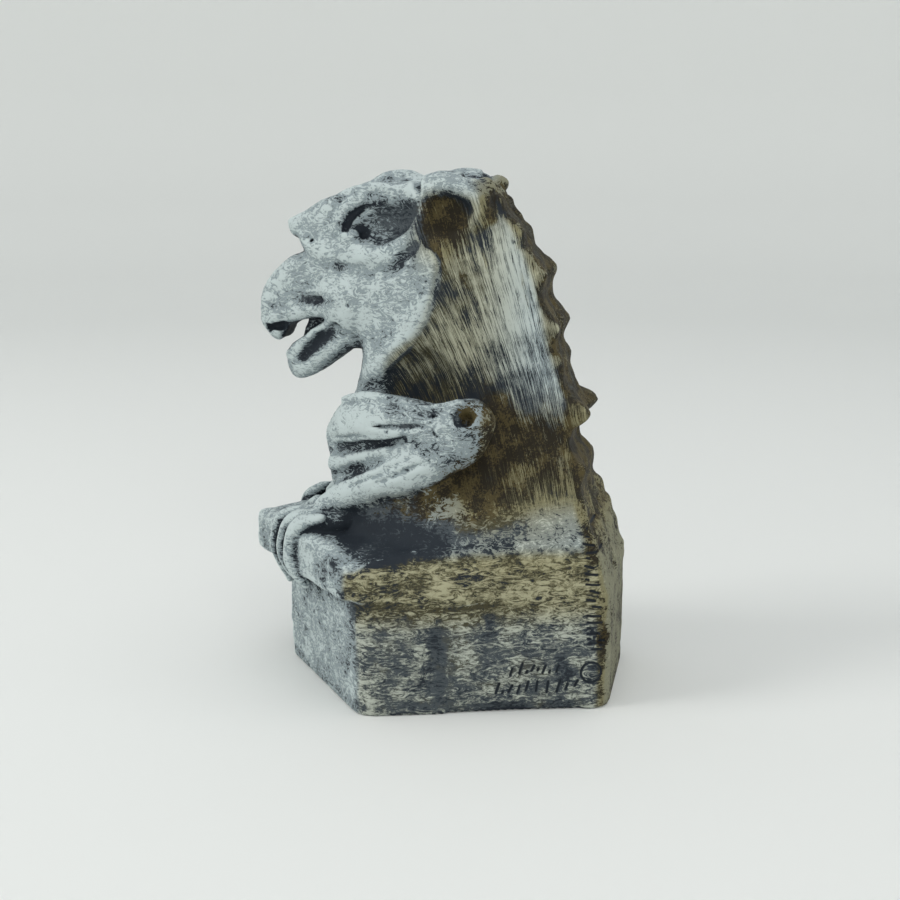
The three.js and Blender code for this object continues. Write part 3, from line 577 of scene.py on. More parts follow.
def walk_skin():
    """The skin as corners and four-sided faces, one corner in each cell that the surface crosses."""
    stride = BLOCK_CELLS
    low_y = slab_prow[1] - MARGIN
    low_z = -2 * CELL
    spans = (slab_corner[0] + MARGIN, back_y + 2 * MARGIN - low_y, slab_top + FIGURE_HEIGHT + 2 * MARGIN)
    half, deep, tall = (int(np.ceil(span / CELL / stride)) * stride for span in spans)
    starts = (np.arange(0, cells_along, stride) for cells_along in (half, deep, tall))
    blocks = np.stack(np.meshgrid(*starts, indexing="ij"), -1).reshape(-1, 3)
    centre = blocks + (stride - 1) / 2
    rough = carved(centre[:, 0] * CELL, low_y + centre[:, 1] * CELL, low_z + centre[:, 2] * CELL)
    values = rough.reshape(half // stride, deep // stride, tall // stride).astype(np.float32)
    for axis in range(3):
        values = np.repeat(values, stride, axis)
    close = blocks[np.abs(rough) < CELL * stride * FINE_WITHIN_BLOCKS]
    inner = np.stack(np.meshgrid(*(np.arange(stride),) * 3, indexing="ij"), -1).reshape(-1, 3)
    fine = (close[:, None] + inner).reshape(-1, 3)
    x, y, z = fine[:, 0] * CELL, low_y + fine[:, 1] * CELL, low_z + fine[:, 2] * CELL
    plain = carved(x, y, z)
    whole = np.concatenate([values[:0:-1], values])
    whole[fine[:, 0] + half - 1, fine[:, 1], fine[:, 2]] = near_side(plain, x, y, z)
    whole[half - 1 - fine[:, 0], fine[:, 1], fine[:, 2]] = plain
    floor = -(low_z + np.arange(tall) * CELL)
    whole = np.maximum(whole, floor[None, None, :].astype(np.float32))

    inside = whole < 0
    corner = list(itertools.product((0, 1), repeat=3))
    size = np.array(whole.shape) - 1

    def shifted(array, offset):
        a, b, c = offset
        return array[a : a + size[0], b : b + size[1], c : c + size[2]]

    total = sum(shifted(inside, offset).astype(np.int8) for offset in corner)
    cells = np.argwhere((total > 0) & (total < 8))
    place = np.zeros((len(cells), 3))
    count = np.zeros(len(cells))
    for first, second in itertools.combinations(corner, 2):
        step = np.array(second) - first
        if np.abs(step).sum() != 1:
            continue
        a = whole[tuple((cells + first).T)]
        b = whole[tuple((cells + second).T)]
        crossed = (a < 0) != (b < 0)
        t = np.where(crossed, a / np.where(crossed, a - b, 1), 0)
        place += np.where(crossed[:, None], np.array(first) + t[:, None] * step, 0)
        count += crossed
    corners = cells + place / count[:, None]
    corners = corners * CELL + np.array([-(half - 1) * CELL, low_y, low_z])
    number = np.full(size, -1, np.int32)
    number[tuple(cells.T)] = np.arange(len(cells))
    faces = []
    for axis in range(3):
        other, third = (axis + 1) % 3, (axis + 2) % 3
        low = [slice(1, -1)] * 3
        low[axis] = slice(0, -1)
        high = list(low)
        high[axis] = slice(1, None)
        start, end = inside[tuple(low)], inside[tuple(high)]
        for here, flip in (((start & ~end), False), ((~start & end), True)):
            grid = np.argwhere(here) + np.array([0 if a == axis else 1 for a in range(3)])
            ring = []
            for da, db in ((0, 0), (1, 0), (1, 1), (0, 1)):
                back = np.zeros(3, int)
                back[other], back[third] = da, db
                ring.append(number[tuple((grid - back).T)])
            faces.append(np.stack(ring[::-1] if flip else ring, 1))
    return corners, np.concatenate(faces)


corners, faces = walk_skin()


LATTICE = 32


def unevenness(points, size, seed):
    """Smooth random swells between -1 and 1, each about one size across."""
    lattice = np.random.default_rng(seed).uniform(-1, 1, (LATTICE,) * 3)
    scaled = points / size
    cell = np.floor(scaled).astype(int)
    t = scaled - cell
    t = t * t * (3 - 2 * t)
    total = np.zeros(len(points))
    for offset in itertools.product((0, 1), repeat=3):
        weight = np.prod(np.where(np.array(offset) == 1, t, 1 - t), axis=1)
        total += weight * lattice[tuple(((cell + offset) % LATTICE).T)]
    return total


def band(value, low, high):
    """0 below low, 1 above high, smooth between."""
    t = np.clip((value - low) / (high - low), 0, 1)
    return t * t * (3 - 2 * t)


def as_mesh(name, points, polygons):
    mesh = bpy.data.meshes.new(name)
    mesh.vertices.add(len(points))
    mesh.vertices.foreach_set("co", np.asarray(points, np.float32).ravel())
    mesh.loops.add(polygons.size)
    mesh.loops.foreach_set("vertex_index", polygons.astype(np.int32).ravel())
    mesh.polygons.add(len(polygons))
    mesh.polygons.foreach_set("loop_start", np.arange(0, polygons.size, polygons.shape[1], dtype=np.int32))
    mesh.update(calc_edges=True)
    return mesh


def places_of(mesh):
    found = np.empty(len(mesh.vertices) * 3)
    mesh.vertices.foreach_get("co", found)
    return found.reshape(-1, 3)


def outward(mesh):
    found = np.empty(len(mesh.vertices) * 3, np.float32)
    mesh.vertex_normals.foreach_get("vector", found)
    return found.reshape(-1, 3).astype(float)


casting_mesh = as_mesh("casting", corners, faces)
normals = outward(casting_mesh)

side_x, deep_y = np.abs(corners[:, 0]) / SHARE, corners[:, 1] / SHARE
tall_z = (corners[:, 2] - slab_top) / SHARE

# Where the mane is combed: strokes run down and back, and fan out from far below the spine
COMB_CENTRE = (68, -107)
COMB_SPAN = 150
comb_across = (deep_y - COMB_CENTRE[0]) / (tall_z - COMB_CENTRE[1]) * COMB_SPAN
comb_along = tall_z - 0.32 * deep_y
behind_crest = band(deep_y - crest_line(tall_z), -1, 3)
sideways = band(np.abs(normals[:, 0]), 0.3, 0.6)
past_trunk = band(side_x - crest_width(tall_z), 0.5, 2.5) * (1 - band(tall_z, 41, 45))
mane = behind_crest * sideways * band(tall_z, 6, 16) * (1 - band(tall_z, 90, 96)) * (1 - past_trunk)
flat = np.zeros(len(corners))
lock_waves = unevenness(np.stack([comb_across, comb_along * 0.12, flat], 1), 5, 11)
locks = np.sin(comb_across * 1.9 + 1.4 * lock_waves)
fine_locks = unevenness(np.stack([comb_across, comb_along * 0.07, flat], 1), 1.25, 12)

# Hand-worked unevenness all over, flat layers on the slab and block, and rounder wear along their edges
swell = (
    0.34 * unevenness(corners, 13, 1) + 0.22 * unevenness(corners, 6, 2)
    + 0.16 * unevenness(corners, 2.6, 3) + 0.08 * unevenness(corners, 1.3, 7)
)
layers = unevenness(corners * np.array([0.1, 0.1, 1]), 1.7, 4) * 0.22
below = (1 - band(tall_z, -3, 2)) * band(np.abs(normals[:, 0]), 0.5, 0.8) * band(normals[:, 1], -0.6, -0.35)
below *= band(deep_y, -21, -18)
hewn = unevenness(corners, 4.2, 5)
along_spine = band(deep_y - np.where(tall_z > -4, spine_line(tall_z), 48), -2.4, 0.4)
slab_edge = bell(tall_z, -1, 3) * band(deep_y, -22, -14)
steady = band(corners[:, 2], 0.2, 2.5)
push = swell + mane * (0.13 * locks + 0.2 * fine_locks) + below * (layers + 0.2 * hewn)
push += slab_edge * (0.55 * hewn - 0.2)
push += along_spine * band(tall_z, -30, -20) * (0.6 * unevenness(corners, 3.4, 8) - 0.1)
corners += normals * (push * steady)[:, None]

# Where the paint and the painted shade lie: how deep a place sits, how far it stands out, and what was
# washed or brushed over it. A place is sheltered where stone stands over it within some reach: (reach,
# weight). The shelter keeps the pale paint off, and it is also painted as shade, darker the more sheltered a
# place is.
SHELTER_REACHES = [(2.5, 0.3), (6.0, 0.35), (13.0, 0.35)]
FINE_ROUNDS, BROAD_ROUNDS, SHELTER_ROUNDS = 2, 14, 3
casting_mesh.vertices.foreach_set("co", corners.astype(np.float32).ravel())
casting_mesh.update()
normals = outward(casting_mesh)


def spread_out(values, rounds):
    """Each corner takes the mean of its neighbours, round after round."""
    start = np.concatenate([faces[:, i] for i in range(4)] * 2)
    end = np.concatenate([faces[:, (i + step) % 4] for step in (1, -1) for i in range(4)])
    share_of = np.bincount(start, minlength=len(corners))
    for _ in range(rounds):
        sums = [np.bincount(start, column[end], len(corners)) for column in values.T]
        values = np.stack(sums, 1) / share_of[:, None]
    return values


relief_fine = ((spread_out(corners, FINE_ROUNDS) - corners) * normals).sum(1) / CELL
relief_broad = ((spread_out(corners, BROAD_ROUNDS) - corners) * normals).sum(1) / CELL
relief_fine = spread_out(relief_fine[:, None], 1)[:, 0]
# Shelter, which the colour later turns into painted shade: how closely stone stands over each place
shelter = np.zeros(len(corners))
for reach, weight in SHELTER_REACHES:
    probe = corners + normals * reach
    shelter += weight * np.clip(1 - carved(*probe.T) / (reach * 0.85), 0, 1)
shelter = spread_out(shelter[:, None], SHELTER_ROUNDS)[:, 0]


def patch(y, z, width, height, turn=0.0):
    """A soft round patch in side view, in hundredths of the creature's height."""
    cosine, sine = np.cos(turn), np.sin(turn)
    across = ((deep_y - y) * cosine + (tall_z - z) * sine) / width
    up = ((tall_z - z) * cosine - (deep_y - y) * sine) / height
    return np.exp(-(across**2 + up**2) ** 1.5)


near = band(corners[:, 0], -2, 2)
nape = np.maximum(band(normals[:, 1], 0.5, 0.8), along_spine) * band(deep_y, 8, 14)
front_of_crest = (1 - behind_crest) * band(tall_z, 6, 12)
over_ear = band(tall_z, 91.5, 94.5) * band(deep_y, -12, -6)
# Painted shadow: the upward faces of the slab's top under the forearm
shadow_under_forearm = patch(-9, 2, 17, 5.4) * band(normals[:, 2], -0.4, 0.3)
cracked = patch(5.6, -31, 3.6, 11) * near
under_arm = np.maximum(
    patch(13, 12, 14, 8) * (1 - band(side_x - crest_width(tall_z), 1, 4) * band(tall_z, 14, 18)),
    patch(-4, 10.5, 13, 4, 0.15) * band(side_x, 18, 22),
)
jaw_hollow = patch(-36, 51.4, 8, 1.8, 0.7) * (side_x < 12)
inside_ear = patch(2, 86, 6.4, 8.4, 0.1)
below_ear = patch(0, 84, 6, 9)
behind_elbow = patch(27, 26, 13, 9, -0.3)
over_elbow = patch(17, 34, 4.4, 9, 0.5) * band(side_x, 10, 13)
elbow_end = patch(11.4, 36, 3, 3.6) * band(side_x, 22, 27)
under_elbow = patch(7, 17, 13, 5, 0.75)
cheek_face = patch(-20, 66, 14, 12)
# Painted shade in the eye's socket, under the brow
socket_shade = patch(-9, 86, 9, 7)
# Painted shade on the throat, under the jaw
throat_shade = patch(-6, 47, 9, 10, 0.5)
over_lip = patch(-36, 64, 9, 2.6)
# The slab's prow: pale paint, and in part painted light where it faces front
pale_and_lit_slab_prow = patch(-38, 0, 9, 16)
trunk_foot = patch(28, 10, 20, 12)
arm_side = band(side_x, 14, 20) * patch(0, 25, 30, 18)
low_mane = mane * (1 - band(tall_z, 28, 46))
wash = np.clip(
    0.95 * inside_ear
    + 0.5 * under_arm
    + 0.75 * behind_elbow
    + 0.7 * over_elbow
    + 0.8 * elbow_end
    + 0.8 * under_elbow
    + 0.7 * nape
    + 0.2 * cracked
    + 0.35 * low_mane
    + 0.3 * mane * (1 - band(deep_y, 4, 22)) * band(tall_z, 58, 72),
    0, 1,
)
chalk = np.clip(
    0.46 * front_of_crest
    + 0.2 * cheek_face
    # less pale paint in the painted shade of the eye's socket
    - 0.35 * socket_shade
    # and a little less in the painted shade of the throat
    - 0.1 * throat_shade
    - 0.25 * over_lip
    + 0.35 * over_ear
    + mane * (0.4 + 0.3 * band(deep_y - crest_line(tall_z), 10, 22) * band(tall_z, 40, 60))
    # more pale paint on the faces of the block and slab that face front rather than aside: partly paint,
    # partly painted light on the side the light falls on
    + 0.5 * (1 - band(tall_z, -2, 2)) * (1 - band(np.abs(normals[:, 0]), 0.55, 0.85))
    + (0.3 - 0.12 * band(-tall_z, 16, 30)) * below
    + 0.35 * arm_side * (1 - behind_crest * (side_x < 19))
    # and on the slab's prow, partly paint and partly painted light
    + 0.35 * pale_and_lit_slab_prow
    + 0.3 * band(tall_z, -2, 2) * (1 - band(tall_z, 10, 18))
    # less pale paint in the painted shadow under the forearm
    - 0.3 * shadow_under_forearm
    - 0.12 * low_mane
    - 0.45 * under_arm
    - 0.4 * jaw_hollow
    - 0.22 * cracked
    - 0.25 * (1 - band(corners[:, 2], 1.5, 5)),
    0, 1,
)
cream = np.clip(
    below * (0.95 - 0.5 * band(-tall_z, 14, 24)) + 0.75 * mane * (1 - band(deep_y, 8, 30))
    + 0.5 * trunk_foot + 0.8 * nape + 0.6 * below_ear + 0.5 * under_arm
    + 0.7 * low_mane,
    0, 1,
)
combed = np.maximum(mane, 0.8 * patch(1, 84, 8, 10))

# Painted shade: the shadow under the forearm, the jaw's hollow and the crack add to the shelter, and less is
# painted at the throat
sheltered = shelter * (1 - 0.6 * patch(-3, 48, 12, 12))
paint_and_shade_layers = {
    "shelter": np.clip(sheltered + 0.6 * shadow_under_forearm + 0.12 * cracked + 0.5 * jaw_hollow, 0, 1),
    "raised": np.clip(-relief_fine * 1.3, -1, 1),
    "sunken": np.clip(relief_broad * 0.25, -1, 1),
    "wash": wash,
    "chalk": chalk,
    "cream": cream,
    "combed": combed,
    "layered": below,
}
for name, values in paint_and_shade_layers.items():
    casting_mesh.attributes.new(name, "FLOAT", "POINT").data.foreach_set("value", values.astype(np.float32))
comb = np.stack([comb_across, comb_along, side_x * 0.3], 1)
comb_layer = casting_mesh.attributes.new("comb", "FLOAT_VECTOR", "POINT")
comb_layer.data.foreach_set("vector", comb.astype(np.float32).ravel())

# The scratched rows: one column beside the spine, two rows low on the block, and a plain ring. The marks
# are slanted strokes and short ticks. One small pit in the brow is pressed in with them.
TICK_CHANCE = 0.4
STROKE_STOPS = 5
RING_CENTRE, RING_RADII, RING_STOPS = (45.2, -35.3), (2.7, 2.9), 15
BROW_PIT = ((-36.8, 80.2), (-36.3, 80.3))
near_skin = BVHTree.FromPolygons(corners.tolist(), faces.tolist())


def placed(name, data):
    """A new object of the scene, from a mesh, a lamp or a camera."""
    thing = bpy.data.objects.new(name, data)
    bpy.context.scene.collection.objects.link(thing)
    return thing


def on_near_skin(y, z):
    hit = near_skin.ray_cast(Vector((100, y * SHARE, slab_top + z * SHARE)), Vector((-1, 0, 0)))[0]
    return None if hit is None else np.array(hit)


def scratch_row(start, end, tall, seed):
    """Strokes side by side from one end of a row to the other, in side view."""
    random = np.random.default_rng(seed)
    start, end = np.array(start, float), np.array(end, float)
    length = np.linalg.norm(end - start)
    along = (end - start) / length
    up = np.array([-along[1], along[0]])
    lines = []
    place = 0.0
    while place < length:
        slant = random.uniform(0.3, 1.0)
        size = tall * random.uniform(0.4, 0.95)
        foot = start + along * place + up * random.uniform(0, tall - size)
        lines.append((foot, foot + up * size + along * slant))
        if random.uniform() < TICK_CHANCE:
            beside = foot + along * (slant + 0.9)
            lines.append((beside, beside + up * tall * 0.16 + along * 0.2))
            place += 0.8
        place += random.uniform(1.9, 2.9)
    return lines


scratches = (
    scratch_row((42.2, 5), (44.4, -29), 4, 21)
    + scratch_row((23.8, -35.4), (36.4, -35), 3.4, 22)
    + scratch_row((20, -40.6), (42, -41.2), 3.8, 23)
)
turns = np.linspace(0, 2 * np.pi, RING_STOPS)
ring = np.array(RING_CENTRE) + np.array(RING_RADII) * np.stack([np.cos(turns), np.sin(turns)], 1)
scratches += [*zip(ring[:-1], ring[1:]), np.array(BROW_PIT)]
stroke_points, stroke_edges = [], []
for first, last in scratches:
    stops = [on_near_skin(*(first + (last - first) * t)) for t in np.linspace(0, 1, STROKE_STOPS)]
    stops = [stop for stop in stops if stop is not None]
    stroke_edges += [(len(stroke_points) + i, len(stroke_points) + i + 1) for i in range(len(stops) - 1)]
    stroke_points += stops
strokes_mesh = bpy.data.meshes.new("scratched strokes")
strokes_mesh.from_pydata(np.array(stroke_points).tolist(), stroke_edges, [])
strokes = placed("scratched strokes", strokes_mesh)

# The stone round the strokes is divided finer, so that they cut cleanly
STROKE_BOX_MARGIN, FINER_WITHIN = 2, 1.3
stroke_places = np.array(stroke_points)
boxed = np.where(
    (corners[:, 0] > 0)
    & (corners > stroke_places.min(0) - STROKE_BOX_MARGIN).all(1)
    & (corners < stroke_places.max(0) + STROKE_BOX_MARGIN).all(1)
)[0]
gap = np.min([np.linalg.norm(corners[boxed] - place, axis=1) for place in stroke_places], axis=0)
marked = set(boxed[gap < FINER_WITHIN].tolist())
carving = bmesh.new()
carving.from_mesh(casting_mesh)
carving.verts.ensure_lookup_table()
finer = {edge for index in marked for edge in carving.verts[index].link_edges}
bmesh.ops.subdivide_edges(carving, edges=list(finer), cuts=2, use_grid_fill=True)
carving.to_mesh(casting_mesh)
carving.free()


class Signal:
    """An output of a node. Sums on it add the Math nodes that work them out."""

    def __init__(self, maker, socket):
        self.maker, self.socket = maker, socket

    def worked(self, operation, *values):
        node = self.maker.make("ShaderNodeMath", {"operation": operation}, dict(enumerate(values)))
        return Signal(self.maker, node.outputs[0])

    def __add__(self, other):
        return self.worked("ADD", self, other)

    def __sub__(self, other):
        return self.worked("SUBTRACT", self, other)

    def __rsub__(self, other):
        return self.worked("SUBTRACT", other, self)

    def __mul__(self, other):
        return self.worked("MULTIPLY", self, other)

    __radd__ = __add__
    __rmul__ = __mul__

    def larger(self, other):
        return self.worked("MAXIMUM", self, other)

    def ramp(self, low, high, start=0.0, end=1.0):
        """start below low, end above high, smooth between."""
        settings = {"interpolation_type": "SMOOTHSTEP"}
        sockets = {"Value": self, "From Min": low, "From Max": high, "To Min": start, "To Max": end}
        return self.maker.signal("ShaderNodeMapRange", settings, sockets, "Result")


class Maker:
    """Makes the nodes of one tree from a type, its settings, and the values or links of its sockets."""

    def __init__(self, tree):
        self.tree = tree

    def make(self, kind, settings, sockets):
        node = self.tree.nodes.new(kind)
        for name, value in settings.items():
            setattr(node, name, value)
        for name, value in sockets.items():
            socket = node.inputs[name]
            if isinstance(value, Signal):
                self.tree.links.new(value.socket, socket)
            else:
                socket.default_value = value
        return node

    def signal(self, kind, settings, sockets, output):
        return Signal(self, self.make(kind, settings, sockets).outputs[output])


def mark_tree(name, paint, source):
    """A tree that sinks the skin near strokes or near scattered points, and remembers where."""
    tree = bpy.data.node_groups.new(name, "GeometryNodeTree")
    face = tree.interface
    face.new_socket("Stone", in_out="INPUT", socket_type="NodeSocketGeometry")
    if source == "strokes":
        face.new_socket("Strokes", in_out="INPUT", socket_type="NodeSocketObject")
    else:
        face.new_socket("Per square mm", in_out="INPUT", socket_type="NodeSocketFloat")
        face.new_socket("Seed", in_out="INPUT", socket_type="NodeSocketInt")
    face.new_socket("Half width", in_out="INPUT", socket_type="NodeSocketFloat")
    face.new_socket("Depth", in_out="INPUT", socket_type="NodeSocketFloat")
    face.new_socket("Stone", in_out="OUTPUT", socket_type="NodeSocketGeometry")
    maker = Maker(tree)
    given = tree.nodes.new("NodeGroupInput")
    take = {socket.name: Signal(maker, socket) for socket in given.outputs if socket.name}
    if source == "strokes":
        target = maker.signal("GeometryNodeObjectInfo", {}, {"Object": take["Strokes"]}, "Geometry")
        settings = {"target_element": "EDGES"}
    else:
        target = maker.signal(
            "GeometryNodeDistributePointsOnFaces", {},
            {"Mesh": take["Stone"], "Density": take["Per square mm"], "Seed": take["Seed"]}, "Points",
        )
        settings = {"target_element": "POINTS"}
    gap = maker.signal("GeometryNodeProximity", settings, {0: target}, "Distance")
    nearness = gap.ramp(take["Half width"] * 0.25, take["Half width"], 1.0, 0.0)
    normal = maker.signal("GeometryNodeInputNormal", {}, {}, "Normal")
    inward = {0: normal, "Scale": nearness * take["Depth"] * -1.0}
    sunk = maker.signal("ShaderNodeVectorMath", {"operation": "SCALE"}, inward, 0)
    kept = maker.signal(
        "GeometryNodeStoreNamedAttribute", {"data_type": "FLOAT", "domain": "POINT"},
        {"Geometry": take["Stone"], "Name": name, "Value": nearness}, "Geometry",
    )
    moved = maker.signal("GeometryNodeSetPosition", {}, {"Geometry": kept, "Offset": sunk}, "Geometry")
    real = maker.signal("GeometryNodeRealizeInstances", {}, {"Geometry": moved}, "Geometry")
    painted = maker.signal("GeometryNodeSetMaterial", {}, {"Geometry": real, "Material": paint}, "Geometry")
    maker.make("NodeGroupOutput", {}, {0: painted})
    return tree


def add_marks(holder, tree, values):
    """Puts a tree on an object, with its inputs set by their identifiers."""
    modifier = holder.modifiers.new(tree.name, "NODES")
    modifier.node_group = tree
    for item in tree.interface.items_tree:
        if item.in_out == "INPUT" and item.name in values:
            modifier[item.identifier] = values[item.name]


def plain_copy(holder, name):
    """The evaluated shape of an object as a mesh of its own."""
    bpy.context.view_layer.update()
    graph = bpy.context.evaluated_depsgraph_get()
    shown = holder.evaluated_get(graph)
    mesh = bpy.data.meshes.new_from_object(shown, preserve_all_data_layers=True, depsgraph=graph)
    mesh.name = name
    return mesh


# The paint: dark slate over all of it, brown wash in the hollows, pale paint dragged over what stands out,
# and painted shade in near-black slate where the stone is sheltered or sunken
SLATE = (0.062, 0.076, 0.086, 1)
# Near-black slate: the darkest paint and the scratched strokes, and also the colour of the painted shade
SLATE_DARK_AND_SHADE = (0.012, 0.018, 0.026, 1)
BROWN = (0.016, 0.012, 0.005, 1)
BROWN_WORN = (0.078, 0.060, 0.022, 1)
CHALK = (0.50, 0.57, 0.57, 1)
CHALK_GREY = (0.26, 0.31, 0.325, 1)
CREAM = (0.39, 0.37, 0.235, 1)
KHAKI_PALE = (0.22, 0.205, 0.115, 1)
KHAKI = (0.062, 0.056, 0.028, 1)

paint = bpy.data.materials.new("cast_stone")
paint.use_nodes = True
paint.node_tree.nodes.clear()
brush = Maker(paint.node_tree)
place = brush.signal("ShaderNodeTexCoord", {}, {}, "Object")


def layer(name, output="Fac"):
    return brush.signal("ShaderNodeAttribute", {"attribute_name": name}, {}, output)


def stretched(vector, scale):
    return brush.signal("ShaderNodeVectorMath", {"operation": "MULTIPLY"}, {0: vector, 1: scale}, 0)


def mottle(vector, scale, detail, roughness=0.6, distortion=0.0):
    sockets = {"Vector": vector, "Scale": scale, "Detail": detail}
    sockets |= {"Roughness": roughness, "Distortion": distortion}
    return brush.signal("ShaderNodeTexNoise", {}, sockets, "Fac")


def blended(first, second, amount):
    sockets = {"Factor": amount, 6: first, 7: second}
    return brush.signal("ShaderNodeMix", {"data_type": "RGBA"}, sockets, 2)


shelter_at, raised_at, sunken_at = layer("shelter"), layer("raised"), layer("sunken")
wash_at, chalk_at, cream_at = layer("wash"), layer("chalk"), layer("cream")
combed_at, layered_at = layer("combed"), layer("layered")
scratched_at, pitted_at = layer("scratch"), layer("pit")
comb_at = layer("comb", "Vector")

blotch = mottle(place, 150, 4)
cloud = mottle(place, 60, 2)
speck = mottle(place, 1700, 4, 0.7)
swirl = mottle(stretched(place, (0.6, 0.5, 1.0)), 560, 7, 0.72, 2.4)
strokes_combed = (mottle(stretched(comb_at, (3.8, 0.11, 0.5)), 1.0, 5, 0.7, 0.3) - 0.5) * 1.2 + 0.5
strokes_level = mottle(stretched(place, (0.34, 0.34, 1.0)), 640, 7, 0.74, 2.0)
plain_amount = (1.0 - combed_at - layered_at).larger(0.0)
drag = swirl * plain_amount + strokes_combed * combed_at + strokes_level * layered_at
grain = drag * 0.86 + speck * 0.14

# Pale paint catches what stands out and misses what lies deep
kept_off = sunken_at * 0.4 + shelter_at * 0.36 + scratched_at * 0.3 + pitted_at * 0.3
catch = grain * 1.25 + chalk_at * 0.3 + raised_at * 0.16
catch = catch + (blotch - 0.5) * 0.42 + (cloud - 0.5) * 0.2 - kept_off - 0.125
half_pale = (catch - layered_at * 0.012 + chalk_at * plain_amount * 0.1 - wash_at * 0.14).ramp(0.54, 0.575)
full_pale = (catch + layered_at * 0.035 - wash_at * 0.22).ramp(0.655, 0.71)
washed = (wash_at - (grain - 0.5) * 2.6 + (blotch - 0.5) * 1.0).ramp(0.42, 0.68)
# Painted shade: near-black slate where the stone is sheltered or sunken, broken up by the brushing
deep = (shelter_at * 0.9 + sunken_at * 0.4 - (grain - 0.5) * 1.1).ramp(0.42, 0.7)

ground = blended(SLATE, KHAKI, (cream_at * 0.75 + (blotch - 0.5) * 0.9).ramp(0.3, 0.6))
# The near-black slate shows through the ground, more of it where the place is sheltered (painted shade)
ground = blended(SLATE_DARK_AND_SHADE, ground, (grain + (blotch - 0.5) * 0.5 - shelter_at * 0.3).ramp(0.36, 0.46))
ground = blended(ground, SLATE_DARK_AND_SHADE, deep)
worn_wash = (grain * 0.5 + speck * 0.5 + (blotch - 0.5) * 0.8).ramp(0.47, 0.56)
ground = blended(ground, blended(BROWN, BROWN_WORN, worn_wash), washed)
half_tone = blended(CHALK_GREY, KHAKI_PALE, cream_at)
full_tone = blended(CHALK, CREAM, cream_at)
colour = blended(ground, half_tone, half_pale)
colour = blended(colour, full_tone, full_pale)
colour = blended(colour, SLATE_DARK_AND_SHADE, scratched_at.ramp(0.25, 0.5, 0.0, 0.92))

height = grain * 0.6 + speck * 0.3 + half_pale * 0.1 + full_pale * 0.1 - pitted_at * 0.4
bump = brush.signal("ShaderNodeBump", {}, {"Strength": 0.6, "Distance": 0.0005, "Height": height}, "Normal")
shine = half_pale.ramp(0.0, 1.0, 0.72, 0.92)
surface = brush.signal(
    "ShaderNodeBsdfPrincipled", {},
    {"Base Color": colour, "Roughness": shine, "Normal": bump, "Specular IOR Level": 0.3}, "BSDF",
)
brush.make("ShaderNodeOutputMaterial", {}, {"Surface": surface})

rough_casting = placed("rough casting", casting_mesh)
add_marks(rough_casting, mark_tree("scratch", paint, "strokes"),
          {"Strokes": strokes, "Half width": 0.5, "Depth": 0.5})
add_marks(rough_casting, mark_tree("pit", paint, "points"),
          {"Per square mm": 0.0012, "Seed": 9, "Half width": 0.8, "Depth": 0.4})
marked_mesh = plain_copy(rough_casting, "marked casting")
bpy.data.objects.remove(rough_casting)
bpy.data.objects.remove(strokes)

# Set in the scene's metres beside the solid, thinned where it is flat, and kept inside the solid's own size
offset_y = solid_low.y * 1000 - slab_prow[1]
spots = places_of(marked_mesh) + (0, offset_y, 0)
spots = np.clip(spots, np.array(solid_low) * 1000, np.array(solid_high) * 1000) / 1000
marked_mesh.vertices.foreach_set("co", spots.ravel())
holder = placed("holder", marked_mesh)
thinner = holder.modifiers.new("thinner", "DECIMATE")
triangles = sum(len(polygon.vertices) - 2 for polygon in marked_mesh.polygons)
thinner.ratio = min(1.0, FACE_LIMIT / triangles)
finished = plain_copy(holder, "casting")
bpy.data.objects.remove(holder)
finished.vertices.foreach_set("co", np.clip(places_of(finished), solid_low, solid_high).ravel())
finished.shade_smooth()
casting = placed("casting", finished)

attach(casting, "root")
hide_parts("gargoyle")


# The table and the light
# A pale seamless sweep under and round the casting, lit by wide soft lamps as in a plain studio.
SWEEP_SIDES = 96
SWEEP_RISE = [(0.9, 0), (1.1, 0.02), (1.25, 0.09), (1.34, 0.22), (1.38, 0.45), (1.4, 1.2)]
SWEEP_COLOUR = (0.80, 0.815, 0.795, 1)
ROOM_COLOUR, ROOM_STRENGTH = (0.93, 0.96, 1.0, 1), 0.5
CAMERA_PLACE, CAMERA_TURN, CAMERA_LENS = (402.6, 84.6, 160), (77.5, 0, 101.8), 56

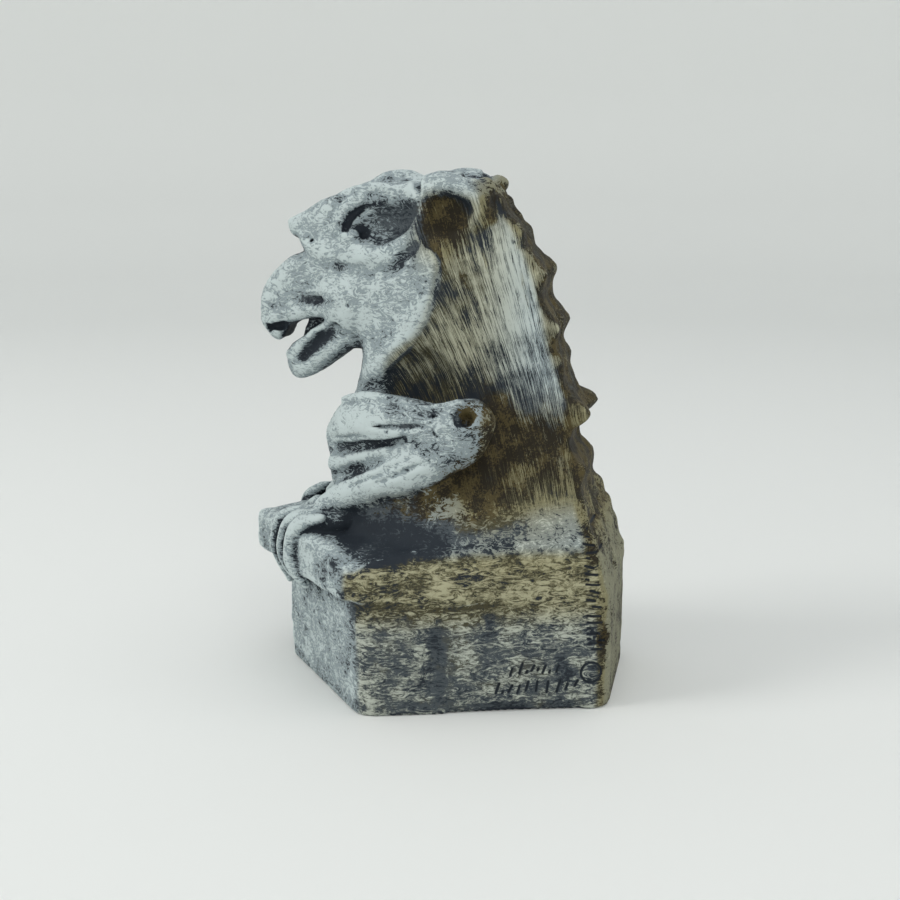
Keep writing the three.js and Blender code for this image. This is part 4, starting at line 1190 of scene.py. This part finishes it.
sweep = bmesh.new()
rings = []
for radius, level in SWEEP_RISE:
    rings.append([sweep.verts.new((radius * np.cos(a), radius * np.sin(a), level))
                  for a in np.linspace(0, 2 * np.pi, SWEEP_SIDES, endpoint=False)])
centre = sweep.verts.new((0, 0, 0))
for first, second in zip(rings[0], rings[0][1:] + rings[0][:1]):
    sweep.faces.new((centre, first, second))
for inner, outer in zip(rings[:-1], rings[1:]):
    for index in range(len(inner)):
        after = (index + 1) % len(inner)
        sweep.faces.new((inner[index], outer[index], outer[after], inner[after]))
sweep_mesh = bpy.data.meshes.new("table sweep")
sweep.to_mesh(sweep_mesh)
sweep.free()
sweep_mesh.shade_smooth()
table = placed("table_sweep", sweep_mesh)
cloth = bpy.data.materials.new("table_sweep")
cloth.use_nodes = True
cloth.node_tree.nodes["Principled BSDF"].inputs["Base Color"].default_value = SWEEP_COLOUR
cloth.node_tree.nodes["Principled BSDF"].inputs["Roughness"].default_value = 0.9
sweep_mesh.materials.append(cloth)

world = bpy.data.worlds.new("room")
world.use_nodes = True
world.node_tree.nodes["Background"].inputs["Color"].default_value = ROOM_COLOUR
world.node_tree.nodes["Background"].inputs["Strength"].default_value = ROOM_STRENGTH
bpy.context.scene.world = world


def lamp(name, spot, target, size, power, tint):
    light = bpy.data.lights.new(name, "AREA")
    light.size = size
    light.energy = power
    light.color = tint
    holder = placed(name, light)
    holder.location = spot
    holder.rotation_euler = (Vector(target) - Vector(spot)).to_track_quat("-Z", "Y").to_euler()


lamp("front lamp", (0.5, -1.0, 0.9), (0, 0, 0.08), 0.5, 6.2, (1, 0.99, 0.97))
lamp("top lamp", (0.1, 0.3, 1.3), (0, 0, 0), 1.0, 4.0, (1, 1, 1))
lamp("side lamp", (1.1, 0.5, 0.6), (0, 0, 0.08), 0.6, 3.2, (1, 0.98, 0.95))

camera = bpy.data.cameras.new("camera")
camera.lens = CAMERA_LENS
camera.sensor_width = 36
viewer = placed("camera", camera)
viewer.location = (np.array(CAMERA_PLACE) + (0, offset_y, 0)) / 1000
viewer.rotation_euler = np.radians(CAMERA_TURN)
bpy.context.scene.camera = viewer
bpy.context.scene.view_settings.view_transform = "Standard"
